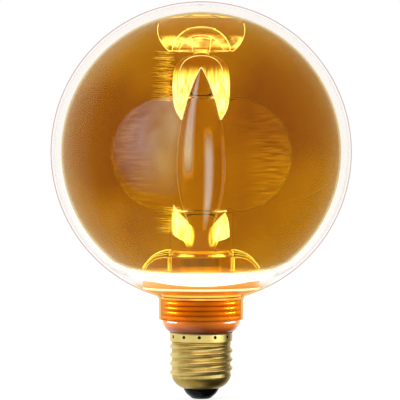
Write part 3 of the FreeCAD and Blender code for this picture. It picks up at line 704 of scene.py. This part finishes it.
@dataclass(frozen=True)
class SeatSilicone(Finish):
    """Moulded translucent silicone lit from inside: glowing orange, with painted light in pale bands at fixed
    heights.
    """

    name: str = "moulded_translucent_silicone"
    body: str = "#F2B868"
    deep: str = "#E29A3E"
    pale: str = "#FFFDE8"
    cloud_mm: float = 4.0
    # painted light: pale glowing bands at these heights
    ring: Band = Band(45.8, 46.3, 0.3)
    foot: Band = Band(41.0, 43.4, 0.3)
    top: Band = Band(48.0, 60.0, 0.6)
    dish: float = 0.0042  # mm that the pale top rises sideways, per square mm from the middle
    band_glow: float = 1.1
    glow: float = 0.18
    film: Film = Film(0.15, 0.03, 0.5, colour="#FFE2A0")

    def shader(self, tree: NodeTree) -> Node:
        """A soft orange body with lit bands at fixed heights.

        Args:
            tree: The material's node tree.

        Returns:
            The surface's node.
        """
        at = place_in(tree)
        cloud = mottle(tree, self.cloud_mm, (3.0, 3.0, 1.0))
        masks = {0: self.ring.mask(tree, at.z), 1: self.foot.mask(tree, at.z)}
        both = add_node(tree, "Math", masks, operation="MAXIMUM")
        square = overlap(tree, at.x, at.x)
        top = self.top.mask(tree, added(tree, at.z, (square, -self.dish)))
        # thin marks where the painted light bands lie
        thin = add_node(tree, "Math", {0: both, 1: top}, operation="MAXIMUM")
        colour = painted(tree, self.body, (cloud, self.deep), (thin, self.pale))
        glow = added(tree, self.glow, (thin, self.band_glow))
        sockets = {"Base Color": colour, "Roughness": 0.3}
        sockets |= {"Emission Color": colour, "Emission Strength": glow}
        base = add_node(tree, "BsdfPrincipled", sockets)
        return self.film.over(tree, base)


@dataclass(frozen=True)
class CupPolycarbonate(Finish):
    """Injection-moulded amber polycarbonate: yellow amber ribs in the neck with painted shade in their
    valleys, a red-brown skirt below.
    """

    name: str = "amber_polycarbonate"
    crest: str = "#D2A244"
    # painted shade: the darker colour of the ribs' valleys
    shaded_valley: str = "#74481A"
    skirt: str = "#A0520C"
    foot: str = "#581A08"
    rib_radius: float = 16.1
    rib_depth: float = 0.4
    cloud_mm: float = 3.0
    cloud_share: float = 0.5
    valley_under: float = 0.25
    crest_over: float = 1.2
    bare: Band = Band(0.0, 33.0, 0.4)  # below the glass neck
    low: Band = Band(0.0, 28.0, 4.0)
    lit_from: float = 28.0
    lit_full: float = 41.0
    least_glow: float = 0.02
    most_glow: float = 0.14
    film: Film = Film(0.2, 0.1, 0.9, colour="#FFF2CC")
    bare_film_loss: float = 0.8

    def shader(self, tree: NodeTree) -> Node:
        """A glossy amber body with the light of the bulb in it, which fades towards the cap.

        Args:
            tree: The material's node tree.

        Returns:
            The surface's node.
        """
        at = place_in(tree)
        ribs = {"Value": at.radius, "From Min": self.rib_radius - self.rib_depth, "From Max": self.rib_radius}
        out = add_node(tree, "MapRange", ribs)
        cloud = mottle(tree, self.cloud_mm, (4.0, 4.0, 1.0))
        mixed = added(tree, out, (cloud, self.cloud_share))
        steps = {"Value": mixed, "From Min": self.valley_under, "From Max": self.crest_over}
        share = add_node(tree, "MapRange", steps)
        bare, low = self.bare.mask(tree, at.z), self.low.mask(tree, at.z)
        # painted shade darkens the ribs' valleys
        colour = painted(tree, self.shaded_valley, (share, self.crest), (bare, self.skirt), (low, self.foot))
        levels = {"Value": at.z, "From Min": self.lit_from, "From Max": self.lit_full}
        levels |= {"To Min": self.least_glow, "To Max": self.most_glow}
        glow = add_node(tree, "MapRange", levels)
        sockets = {"Base Color": colour, "Roughness": 0.2}
        sockets |= {"Emission Color": colour, "Emission Strength": glow}
        base = add_node(tree, "BsdfPrincipled", sockets)
        satin = added(tree, 1.0, (bare, -self.bare_film_loss))
        return self.film.over(tree, base, satin)


@dataclass(frozen=True)
class RolledBrass(Finish):
    """Brass sheet with a rolled thread: satin gold crests, dull olive roots, fine marks round the axis."""

    name: str = "rolled_brass_sheet"
    bright: str = "#F2D884"
    dull: str = "#B2923A"
    # painted shade: hollow darkens the hollows that ambient occlusion finds, and dent the staking dents
    hollow: str = "#3A2606"
    dent: str = "#1C1204"
    root_radius: float = 11.9
    crest_radius: float = 13.0
    tarnish_mm: float = 5.0
    tarnish_share: float = 0.8
    dull_under: float = 0.25
    hollow_mm: float = 1.2
    hollow_full: float = 0.15  # how open to the air a hollow is where it is darkest
    hollow_none: float = 0.75  # and where it no longer shows dark
    dent_turn: float = -3.5  # degrees round the axis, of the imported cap's dent that is nearest the front
    dent_step: float = 30.0
    dent_z: float = 26.1
    dent_reach: Band = Band(-1.0, 0.5, 0.4)
    mark_mm: float = 0.35
    mark_relief_mm: float = 0.02
    smooth: float = 0.32
    rough: float = 0.5

    def dents(self, tree: NodeTree, at: Place) -> NodeSocket:
        """Mark the staking dents round the collar.

        Args:
            tree: The node tree.
            at: The place of a point on the bulb.

        Returns:
            The mask: 1 in a dent.
        """
        turned = {0: at.angle, 1: 360.0 + self.dent_step / 2 - self.dent_turn}
        ahead = add_node(tree, "Math", turned, operation="ADD")
        step = add_node(tree, "Math", {0: ahead, 1: self.dent_step}, operation="MODULO")
        per_degree = math.radians(self.crest_radius)
        across = added(tree, -per_degree * self.dent_step / 2, (step, per_degree))
        up = add_node(tree, "Math", {0: at.z, 1: self.dent_z}, operation="SUBTRACT")
        from_dent = add_node(tree, "CombineXYZ", {0: across, 1: up, 2: 0.0})
        away = add_node(tree, "VectorMath", {0: from_dent}, operation="LENGTH")
        return self.dent_reach.mask(tree, away.outputs["Value"])

    def shader(self, tree: NodeTree) -> Node:
        """Worn brass, with painted shade: darker in its hollows, where ambient occlusion finds them, and
        black in its dents.

        Args:
            tree: The material's node tree.

        Returns:
            The surface's node.
        """
        at = place_in(tree)
        steps = {"Value": at.radius, "From Min": self.root_radius, "From Max": self.crest_radius}
        out = add_node(tree, "MapRange", steps)
        tarnish = mottle(tree, self.tarnish_mm, detail=4.0)
        worn = added(tree, out, (tarnish, self.tarnish_share))
        share = add_node(tree, "MapRange", {"Value": worn, "From Min": self.dull_under})
        # painted shade from ambient occlusion in the hollows
        open_air = add_node(tree, "AmbientOcclusion", {"Distance": self.hollow_mm * MM}, samples=8)
        steps = {"Value": open_air.outputs["AO"], "From Min": self.hollow_full}
        steps |= {"From Max": self.hollow_none, "To Min": 1.0, "To Max": 0.0}
        dark = add_node(tree, "MapRange", steps)
        # painted shade: the dents are coloured near black
        dents = self.dents(tree, at)
        colour = painted(tree, self.dull, (share, self.bright), (dark, self.hollow), (dents, self.dent))
        marks = mottle(tree, self.mark_mm, (30.0, 30.0, 1.0))
        satin = {"Value": marks, "To Min": self.smooth, "To Max": self.rough}
        rough = add_node(tree, "MapRange", satin)
        relief = add_node(tree, "Bump", {"Distance": self.mark_relief_mm * MM, "Height": marks})
        sockets = {"Base Color": colour, "Metallic": 1.0, "Roughness": rough, "Normal": relief}
        return add_node(tree, "BsdfPrincipled", sockets)


@dataclass(frozen=True)
class PhosphorLed(Finish):
    """A moulded LED: white body, and a window of yellow phosphor on top that glows when lit."""

    name: str = "phosphor_and_white_polymer"
    body: str = "#F2EFE6"
    phosphor: str = "#FFE24A"
    phosphor_grain: str = "#F2B52A"
    light: str = "#FFD670"
    window: Band = Band(49.0, 99.0, 0.02)
    grain_mm: float = 0.12
    glow: float = 0.4

    def shader(self, tree: NodeTree) -> Node:
        """White below, glowing grainy yellow above.

        Args:
            tree: The material's node tree.

        Returns:
            The surface's node.
        """
        window = self.window.mask(tree, place_in(tree).z)
        phosphor = painted(tree, self.phosphor, (mottle(tree, self.grain_mm), self.phosphor_grain))
        colour = painted(tree, self.body, (window, phosphor))
        glow = overlap(tree, window, self.glow)
        sockets = {"Base Color": colour, "Roughness": 0.35}
        sockets |= {"Emission Color": self.light, "Emission Strength": glow}
        return add_node(tree, "BsdfPrincipled", sockets)


@dataclass(frozen=True)
class Surface(Finish):
    """A closed surface of two close shades in grains of a real size, which also make its relief."""

    face: str
    shade: str
    grain_mm: float
    stretch: tuple[float, float, float] = (1.0, 1.0, 1.0)
    metallic: float = 0.0
    smooth: float = 0.3
    rough: float = 0.5
    relief_mm: float = 0.01
    coat: float = 0.0
    specular: float = 0.5

    def shader(self, tree: NodeTree) -> Node:
        """Grain in the colour, the roughness and the relief.

        Args:
            tree: The material's node tree.

        Returns:
            The surface's node.
        """
        grain = mottle(tree, self.grain_mm, self.stretch, 3.0)
        contrast = add_node(tree, "MapRange", {"Value": grain, "From Min": 0.3, "From Max": 0.7})
        colour = painted(tree, self.face, (contrast, self.shade))
        levels = {"Value": grain, "To Min": self.smooth, "To Max": self.rough}
        rough = add_node(tree, "MapRange", levels)
        relief = add_node(tree, "Bump", {"Distance": self.relief_mm * MM, "Height": grain})
        sockets = {"Base Color": colour, "Metallic": self.metallic, "Roughness": rough}
        sockets |= {"Normal": relief, "Coat Weight": self.coat, "Specular IOR Level": self.specular}
        return add_node(tree, "BsdfPrincipled", sockets)


def dress(finish: Finish, *nodes: str) -> None:
    """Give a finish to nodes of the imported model.

    Args:
        finish: The finish.
        *nodes: The nodes' names.
    """
    for name in nodes:
        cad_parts[name].material_slots[0].material = finish.material()
        LOG.info("%s wears %s", name, finish.name)


# Glowing edges
class Follow(Enum):
    """Which lines of a node a glowing edge follows."""

    SECTION = "where the mould halves meet, in the upright plane through the axis"
    CREASES = "where its faces meet at a sharp angle"


def joined(pairs: list[tuple[Vector, Vector]]) -> list[list[Vector]]:
    """Join short edges into runs, each from one fork or end to the next, or all round.

    Args:
        pairs: The two ends of each edge.

    Returns:
        The runs' points.
    """
    beside = defaultdict(list)
    for start, end in pairs:
        beside[start.freeze()].append(end.freeze())
        beside[end].append(start)
    forks = [point for point, near in beside.items() if len(near) != 2]
    used, runs = set(), []
    for first in forks + list(beside):
        for second in beside[first]:
            run, last, point = [first], first, second
            while frozenset((last, point)) not in used:
                used.add(frozenset((last, point)))
                run.append(point)
                if len(beside[point]) != 2:
                    break
                near = beside[point]
                last, point = point, near[0] if near[1] == last else near[1]
            if len(run) > 1:
                runs.append(run)
    return runs


def runs_of(node: str, follow: Follow, keep: Callable[[Vector], bool]) -> list[list[Vector]]:
    """Find the lines of a node that a glowing edge follows.

    Args:
        node: The node's name.
        follow: Which lines.
        keep: Says for a point whether the edge goes there.

    Returns:
        The lines' points.
    """
    mesh = bmesh.new()
    mesh.from_mesh(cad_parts[node].data)
    bmesh.ops.remove_doubles(mesh, verts=mesh.verts, dist=WELD_MM * MM)
    if follow is Follow.SECTION:
        whole = mesh.verts[:] + mesh.edges[:] + mesh.faces[:]
        cut = bmesh.ops.bisect_plane(mesh, geom=whole, plane_co=(0, 0, 0), plane_no=(0, 1, 0))
        edges = [part for part in cut["geom_cut"] if isinstance(part, bmesh.types.BMEdge)]
    else:
        edges = [edge for edge in mesh.edges if edge.calc_face_angle(0.0) > SHARP]
    pairs = [tuple(vertex.co.copy() for vertex in edge.verts) for edge in edges]
    mesh.free()
    return joined([pair for pair in pairs if keep(pair[0]) and keep(pair[1])])


def drawn(
    name: str,
    runs: list[list[Vector]],
    finish: Finish,
    thick_mm: float,
    closed: bool = False,
    end: float = 1.0,
) -> Object:
    """Draw round threads along runs of points, as one curve object on the bulb's body.

    Args:
        name: The object's name.
        runs: The points of each thread, in metres.
        finish: The threads' finish.
        thick_mm: How thick a thread is.
        closed: Whether each thread closes in a ring.
        end: How thick a thread's end is beside its start.

    Returns:
        The curve object.
    """
    curve = bpy.data.curves.new(name, "CURVE")
    curve.dimensions = "3D"
    curve.bevel_depth = thick_mm * MM / 2
    curve.bevel_resolution = 1
    for run in runs:
        spline = curve.splines.new("POLY")
        spline.points.add(len(run) - 1)
        spline.use_cyclic_u = closed
        for index, (point, place) in enumerate(zip(spline.points, run)):
            point.co = (*place, 1.0)
            point.radius = 1.0 + (end - 1.0) * index / (len(run) - 1)
    curve.materials.append(finish.material())
    threads = bpy.data.objects.new(name, curve)
    bpy.context.scene.collection.objects.link(threads)
    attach(threads, BODY)
    LOG.info("%s has %d threads", name, len(runs))
    return threads


@dataclass
class GlowingEdge:
    """Thin lit lines on a node of glass."""

    name: str
    node: str
    follow: Follow
    finish: Finish
    slot: str
    thick_mm: float
    keep: Callable[[Vector], bool] = lambda point: True

    def build(self) -> Object:
        """Draw the lines and return their curve object."""
        runs = runs_of(self.node, self.follow, self.keep)
        return drawn(self.name, runs, self.finish, self.thick_mm)


@dataclass
class Arch:
    """A flat arched thread in the upright plane through the axis."""

    name: str
    finish: Finish
    slot: str
    half_width_mm: float
    foot_z_mm: float
    rise_mm: float
    thick_mm: float
    halves: int = 8

    def build(self) -> Object:
        """Draw the arch.

        Returns:
            Its curve object.
        """
        across = [step / self.halves for step in range(-self.halves, self.halves + 1)]
        run = [
            Vector((self.half_width_mm * t, 0.0, self.foot_z_mm + self.rise_mm * (1 - t * t))) * MM
            for t in across
        ]
        return drawn(self.name, [run], self.finish, self.thick_mm)


@dataclass
class Bead:
    """A thin round bead that lies in a ring about the axis."""

    name: str
    finish: Finish
    slot: str
    radius_mm: float
    z_mm: float
    thick_mm: float
    points: int = 128

    def build(self) -> Object:
        """Lay the bead.

        Returns:
            Its curve object.
        """
        turns = [math.tau * index / self.points for index in range(self.points)]
        ring = [
            Vector((math.cos(turn) * self.radius_mm, math.sin(turn) * self.radius_mm, self.z_mm)) * MM
            for turn in turns
        ]
        return drawn(self.name, [ring], self.finish, self.thick_mm, closed=True)


@dataclass
class StrayLight:
    """Fine level threads of light that fray out beside a lit part, denser towards that part."""

    name: str
    finish: Finish
    slot: str
    inner: tuple[float, float]
    outer: tuple[float, float]
    heights: tuple[float, float]
    count: int
    rise: tuple[float, float] = (-0.15, 0.6)
    depth: tuple[float, float] = (-3.0, 3.0)
    thick_mm: float = 0.2
    end: float = 0.2
    pieces: int = 6
    seed: int = 7

    def build(self) -> Object:
        """Draw the threads.

        Returns:
            Their curve object.
        """
        rand = random.Random(self.seed)
        steps = [step / self.pieces for step in range(self.pieces + 1)]
        runs = []
        for _ in range(self.count):
            z = rand.uniform(*self.heights)
            start, end = rand.uniform(*self.inner), rand.uniform(*self.outer)
            rise, depth = rand.uniform(*self.rise), rand.uniform(*self.depth)
            runs.append([Vector((start + (end - start) * t, depth, z + rise * t * t)) * MM for t in steps])
        return drawn(self.name, runs, self.finish, self.thick_mm, end=self.end)


# Sub-assemblies
@dataclass
class Ball:
    """The three nested balls, what carries them and the thin glasses inside."""

    flare_edge_mm: float = 0.6

    def build(self) -> None:
        """Dress the ball's nodes and draw the lit edges of its flare."""
        dress(BlownGlobeGlass(), "outer_globe")
        dress(GuideAcrylic(), "light_guide")
        dress(AmberGlass(), "amber_globe")
        dress(SeatSilicone(), "seat_collar")
        dress(BubbleGlass(), "bubble")
        # Pressed glass: thicker than blown glass, so its wall holds a warmer light
        pressed = ClearCast("pressed_glass", "#FDF6E2", "#F8ECC8", 1.12, "#F6D02E", 0.012)
        dress(pressed, "flare", "spacer_ring")
        # Fire-polished glass edge: the flare's light leaves there as a greenish white line
        line = LitEdge("lit_flare_edge", "#DCE8D0", 3.6)
        GlowingEdge("flare_edge", "flare", Follow.SECTION, line, "thin_glass", self.flare_edge_mm).build()


@dataclass
class Core:
    """The column with its flame, the petals and the crown in the amber ball."""

    flame_foot_mm: float = 64.0
    flame_seam_mm: float = 0.4
    crown_reach_mm: float = 56.8  # from the ball's centre: the crown's line ends short of the amber ball
    crown_foot_mm: float = 143.5
    crown_seam_mm: float = 0.65
    crown_hollow: tuple[float, float, float] = (4.8, 153.5, 0.7)  # its top: half width, height and rise
    petal_edge_mm: float = 0.42
    hub_mm: float = 6.2

    def on_crown(self, point: Vector) -> bool:
        """Whether the crown's glowing line goes through a point."""
        return (point - GLOBE_CENTRE).length < self.crown_reach_mm * MM and point.z > self.crown_foot_mm * MM

    def lines(self) -> None:
        """Draw the lit edges of the flame, the crown and the petals."""
        # Moulded acrylic edges: the seam of the flame gold, the others nearly white
        gold = LitEdge("lit_seam", "#FFE650", 0.8)
        white = LitEdge("lit_petal_edge", "#B4CCFF", 4.0)
        crown = LitEdge("lit_crown_seam", "#BCC8E8", 5.0)
        section, creases = Follow.SECTION, Follow.CREASES
        clear, frosted = "column_glass", "petal_glass"
        GlowingEdge(
            "flame_seam", "light_column", section, gold, clear, self.flame_seam_mm,
            lambda point: point.z > self.flame_foot_mm * MM,
        ).build()
        GlowingEdge(
            "crown_seam", "crown_lens", section, crown, clear, self.crown_seam_mm, self.on_crown
        ).build()
        # The section leaves the flat top of the crown's hollow open: an arch closes its line
        Arch("crown_arch", crown, clear, *self.crown_hollow, self.crown_seam_mm).build()
        GlowingEdge("upper_petals_edge", "upper_petals", creases, white, frosted, self.petal_edge_mm).build()
        GlowingEdge(
            "lower_petals_edge", "lower_petals", creases, white, frosted, self.petal_edge_mm,
            lambda point: abs(point.x) > self.hub_mm * MM,
        ).build()

    def build(self) -> None:
        """Dress the core's nodes, draw their lit edges and the light that frays out beside them."""
        dress(FlameAcrylic(), "light_column")
        dress(CrownAcrylic(), "crown_lens")
        dress(PetalAcrylic(), "upper_petals")
        lower = PetalAcrylic(
            "frosted_foot_acrylic", heights=Band(66.0, 90.0, 9.0), radii=Band(8.5, 40.0, 4.0)
        )
        dress(lower, "lower_petals")
        self.lines()
        # Light in the amber glass beside the petals, drawn as threads: a soft gold haze
        wisp = LitEdge("stray_light", "#DCE890", 1.5, 2.0)
        for name, inner, outer, heights, count in (
            ("crown_wisps", (-14.0, -11.0), (-21.0, -15.0), (124.0, 144.5), 130),
            ("foot_wisps", (-12.0, -8.0), (-19.5, -12.5), (69.0, 79.5), 70),
        ):
            StrayLight(name, wisp, "petal_glass", inner, outer, heights, count).build()


@dataclass
class Neck:
    """The amber cup with its seal and cement, and the cap."""

    bead_radius: float = 16.25
    bead_z: float = 41.85
    bead_thick: float = 0.8

    def build(self) -> None:
        """Dress the neck's and the cap's nodes."""
        dress(CupPolycarbonate(), "base_cup")
        # A silicone bead between cup and collar: it takes the LEDs' light and shows as a pale line
        gasket = LitEdge("lit_silicone_bead", "#FFEFC4", 1.3, 9.0)
        Bead("gasket", gasket, "clear_silicone", self.bead_radius, self.bead_z, self.bead_thick).build()
        # Cured silicone: cloudy clear, it fills the joint with a wet look
        seal = ClearCast("cured_silicone", "#FFFFFF", "#F4F0E6", 1.3, roughness=0.15, flow_mm=2.0)
        dress(seal, "neck_seal")
        dress(RolledBrass(), "screw_cap")
        # Cap cement, cured: chalky and grainy
        cement = Surface(
            "cured_cap_cement", "#D8D2C4", "#B8AE9A", 0.8, smooth=0.8, rough=1.0, relief_mm=0.1
        )
        dress(cement, "cement_ring")
        # Black insulator glass, cast: smooth with a soft grey gloss
        glass = Surface(
            "cast_black_glass", "#020202", "#050506", 3.0, smooth=0.12, rough=0.3, specular=0.12
        )
        dress(glass, "insulator")
        # Solder-tipped brass, worn: dark grey with a dull shine
        solder = Surface(
            "worn_solder", "#46484E", "#2C2D31", 0.7, metallic=0.9, smooth=0.35, rough=0.6, relief_mm=0.03
        )
        dress(solder, "centre_contact")


@dataclass
class LightSource:
    """The LED board on its heat sink, with reflector and screws."""

    leds: int = 12

    def build(self) -> None:
        """Dress the light source's nodes."""
        # Aluminium board with white solder mask: smooth and slightly uneven
        mask = Surface("white_solder_mask", "#DAD6C6", "#C8C3B0", 2.0, smooth=0.3, rough=0.45)
        dress(mask, "led_board")
        dress(PhosphorLed(), "column_emitter", *[f"led_{i:02d}" for i in range(1, self.leds + 1)])
        # Die-cast aluminium: bright grey with a cast skin
        cast = Surface(
            "die_cast_aluminium", "#B8BABD", "#96989C", 0.6,
            metallic=1.0, smooth=0.35, rough=0.6, relief_mm=0.03,
        )
        dress(cast, "heat_sink")
        # White polycarbonate, moulded: satin, with a fine eroded grain
        white = Surface("white_polycarbonate", "#F6F4EE", "#E8E4D8", 0.3, smooth=0.4, rough=0.6)
        dress(white, "reflector")
        # Steel screws, zinc plated: pale blue-grey with a tight shine
        zinc = Surface("zinc_plated_steel", "#C9CDD2", "#A9AFB8", 0.5, metallic=1.0, smooth=0.2, rough=0.4)
        dress(zinc, "board_screw_1", "board_screw_2")


@dataclass
class Driver:
    """The driver board with its parts, and the leads."""

    resistors: int = 3

    def build(self) -> None:
        """Dress the driver's nodes."""
        # Glass-epoxy laminate with green mask: the weave shows faintly
        board = Surface("green_epoxy_laminate", "#1F5A34", "#174827", 0.5, smooth=0.25, rough=0.4, coat=0.4)
        dress(board, "driver_board")
        # Epoxy moulding compound: matt black, finely eroded
        epoxy = Surface(
            "black_epoxy_moulding", "#17181A", "#232427", 0.2, smooth=0.5, rough=0.75, relief_mm=0.02
        )
        chips = [f"chip_resistor_{i}" for i in range(1, self.resistors + 1)]
        dress(epoxy, "bridge_rectifier", "driver_chip", *chips)
        # Drawn aluminium can: fine lines along its length
        can = Surface("drawn_aluminium", "#C4C6C9", "#A2A5A9", 0.3, (1.0, 1.0, 20.0), 1.0, 0.25, 0.45)
        dress(can, "electrolytic_can")
        # Sintered ferrite: dark grey and slightly gritty
        ferrite = Surface(
            "sintered_ferrite", "#2B2C2F", "#3A3B3F", 0.25, smooth=0.55, rough=0.8, relief_mm=0.03
        )
        dress(ferrite, "drum_core")
        # Enamelled copper wire: warm copper under clear enamel
        copper = Surface(
            "enamelled_copper", "#C4622C", "#8F3F18", 0.4, (20.0, 20.0, 1.0), 0.9, 0.2, 0.35, coat=0.6
        )
        dress(copper, "winding")
        # Epoxy-dipped film box: yellow and smooth
        dipped = Surface("dipped_epoxy", "#D9A514", "#C08E0E", 1.5, smooth=0.2, rough=0.35, coat=0.5)
        dress(dipped, "film_capacitor")
        # Resistor lacquer: dull green with brush marks
        lacquer = Surface("resistor_lacquer", "#5E8A7A", "#4A7264", 0.8, smooth=0.4, rough=0.6)
        dress(lacquer, "fusible_resistor")
        # Extruded PVC insulation: satin, red on the live side and black on the other
        red = Surface("red_pvc", "#B3201A", "#961812", 0.6, smooth=0.35, rough=0.5)
        dress(red, "led_lead_plus", "live_lead")
        black = Surface("black_pvc", "#141416", "#1E1E21", 0.6, smooth=0.35, rough=0.5)
        dress(black, "led_lead_minus", "side_lead")


# Stage
@dataclass(frozen=True)
class Lamp:
    """A soft lamp that faces the bulb: its place and size in metres, and its power in watts.

    It lights the nodes in mirrors and shows in them; where there are none, it lights all and shows in none.
    """

    name: str
    place: tuple[float, float, float]
    size: tuple[float, float]
    power: float
    mirrors: tuple[str, ...] = ()

    def hang(self) -> None:
        """Hang the lamp."""
        light = bpy.data.lights.new(self.name, "AREA")
        light.shape = "RECTANGLE"
        light.size, light.size_y = self.size
        light.energy = self.power
        lamp = bpy.data.objects.new(self.name, light)
        lamp.location = self.place
        lamp.rotation_euler = (GLOBE_CENTRE - Vector(self.place)).to_track_quat("-Z", "Y").to_euler()
        lamp.visible_camera = lamp.visible_transmission = False
        lamp.visible_glossy = bool(self.mirrors)
        if self.mirrors:
            lit = bpy.data.collections.new(f"{self.name}_receivers")
            for node in self.mirrors:
                lit.objects.link(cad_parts[node])
            lamp.light_linking.receiver_collection = lit
        bpy.context.scene.collection.objects.link(lamp)


METALS = ("screw_cap", "centre_contact")
CUP = ("base_cup",)
LAMPS = (
    Lamp("left_box", (-0.8, -0.7, 0.7), (0.7, 0.9), 9.0),
    Lamp("right_box", (0.9, -0.3, 0.5), (0.5, 0.9), 5.0),
    Lamp("front_card", (0.0, -1.5, 0.05), (2.0, 0.6), 5.5, METALS),
    Lamp("left_card", (-1.4, -0.7, 0.05), (1.5, 0.6), 4.5, METALS),
    Lamp("right_card", (1.4, -0.7, 0.05), (1.5, 0.6), 9.0, METALS),
    Lamp("top_card", (0.0, -1.1, 0.95), (1.8, 0.5), 8.0, METALS),
    Lamp("left_strip", (-0.95, 0.12, 0.16), (0.7, 0.2), 30.0, CUP),
    Lamp("right_strip", (0.95, 0.12, 0.16), (0.7, 0.2), 30.0, CUP),
)


@dataclass(frozen=True)
class Glimpse:
    """A side of the studio that mirrors show bright: its direction, and where its edge starts and ends."""

    side: tuple[float, float, float]
    start: float
    full: float


@dataclass
class Studio:
    """The white floor, the lamps, the world and the camera."""

    floor_half: float = 4.0
    floor_drop: float = -0.0002
    floor_paint: str = "#F4F4F4"
    floor_shine: float = 1.15
    floor_share: float = 0.7
    behind: Glimpse = Glimpse((0.0, 1.0, 0.0), 0.62, 0.82)
    behind_left: Glimpse = Glimpse((-0.53, 0.85, 0.0), 0.5, 0.72)
    below_left: Glimpse = Glimpse((-0.45, 0.0, -0.89), 0.80, 0.90)
    below_level: float = 0.7
    front_level: float = 0.03
    plain_level: float = 0.75
    lens: float = 249.0
    eye: tuple[float, float, float] = (-0.0005, -1.15, 0.100)
    aim: tuple[float, float, float] = (-0.0005, 0.0, 0.0826)

    def floor(self) -> None:
        """A wide white floor under the bulb that keeps the bulb's shadow and stays out of mirrors."""
        mesh = bpy.data.meshes.new("studio_floor")
        grid = bmesh.new()
        bmesh.ops.create_grid(grid, x_segments=8, y_segments=8, size=self.floor_half)
        grid.to_mesh(mesh)
        grid.free()
        floor = bpy.data.objects.new("studio_floor", mesh)
        bpy.context.scene.collection.objects.link(floor)
        floor.location.z = self.floor_drop
        material = bpy.data.materials.new("painted_floor")
        material.use_nodes = True
        tree = material.node_tree
        tree.nodes.clear()
        paint = add_node(tree, "BsdfDiffuse", {"Color": self.floor_paint})
        shine = add_node(tree, "Emission", {"Color": "#FFFFFF", "Strength": self.floor_shine})
        both = add_node(tree, "MixShader", {0: self.floor_share, 1: paint, 2: shine})
        path = add_node(tree, "LightPath").outputs
        rays = {0: path["Is Glossy Ray"], 1: path["Is Transmission Ray"]}
        mirror = add_node(tree, "Math", rays, operation="SUBTRACT", use_clamp=True)
        unseen = add_node(tree, "BsdfTransparent")
        shown = add_node(tree, "MixShader", {0: mirror, 1: both, 2: unseen})
        add_node(tree, "OutputMaterial", {"Surface": shown})
        mesh.materials.append(material)

    def mirrored(self, tree: NodeTree) -> Node:
        """Work out how bright mirrors show each direction.

        Args:
            tree: The world's node tree.

        Returns:
            The node of the level.
        """
        way = add_node(tree, "TexCoord").outputs["Generated"]
        levels = []
        for part in (self.behind, self.behind_left, self.below_left):
            along = add_node(tree, "VectorMath", {0: way, 1: part.side}, operation="DOT_PRODUCT")
            level = {"Value": along.outputs["Value"], "From Min": part.start, "From Max": part.full}
            levels.append(add_node(tree, "MapRange", level, interpolation_type="SMOOTHSTEP"))
        most = add_node(tree, "Math", {0: levels[0], 1: levels[1]}, operation="MAXIMUM")
        low = overlap(tree, levels[2], self.below_level)
        most = add_node(tree, "Math", {0: most, 1: low}, operation="MAXIMUM")
        return add_node(tree, "MapRange", {"Value": most, "To Min": self.front_level})

    def world(self) -> None:
        """White for what is seen, a half-dark studio for reflections, and plain light for the rest."""
        world = bpy.data.worlds.new("studio")
        world.use_nodes = True
        tree = world.node_tree
        tree.nodes.clear()
        path = add_node(tree, "LightPath").outputs
        rays = {0: path["Is Camera Ray"], 1: path["Is Transmission Ray"]}
        seen = add_node(tree, "Math", rays, operation="MAXIMUM")
        sides = {"Factor": path["Is Glossy Ray"], "A": self.plain_level, "B": self.mirrored(tree)}
        other = add_node(tree, "Mix", sides)
        level = add_node(tree, "Mix", {"Factor": seen, "A": other, "B": 1.0})
        glow = add_node(tree, "Background", {"Color": "#FFFFFF", "Strength": level})
        add_node(tree, "OutputWorld", {"Surface": glow})
        bpy.context.scene.world = world

    def camera(self) -> None:
        """Set the camera at the photograph's view."""
        camera = bpy.data.objects.new("camera", bpy.data.cameras.new("camera"))
        camera.data.lens = self.lens
        camera.data.clip_start = 0.01
        camera.data.clip_end = 50.0
        camera.location = self.eye
        camera.rotation_euler = (Vector(self.aim) - Vector(self.eye)).to_track_quat("-Z", "Y").to_euler()
        bpy.context.scene.collection.objects.link(camera)
        bpy.context.scene.camera = camera

    def build(self) -> None:
        """Make the whole studio."""
        self.floor()
        self.world()
        for lamp in LAMPS:
            lamp.hang()
        self.camera()
        bpy.context.scene.view_settings.view_transform = "Standard"


def main() -> None:
    """Build and dress the whole bulb."""
    logging.basicConfig(level=logging.INFO)
    for part in (Studio(), Ball(), Core(), Neck(), LightSource(), Driver()):
        part.build()


if __name__ == "__main__":
    main()
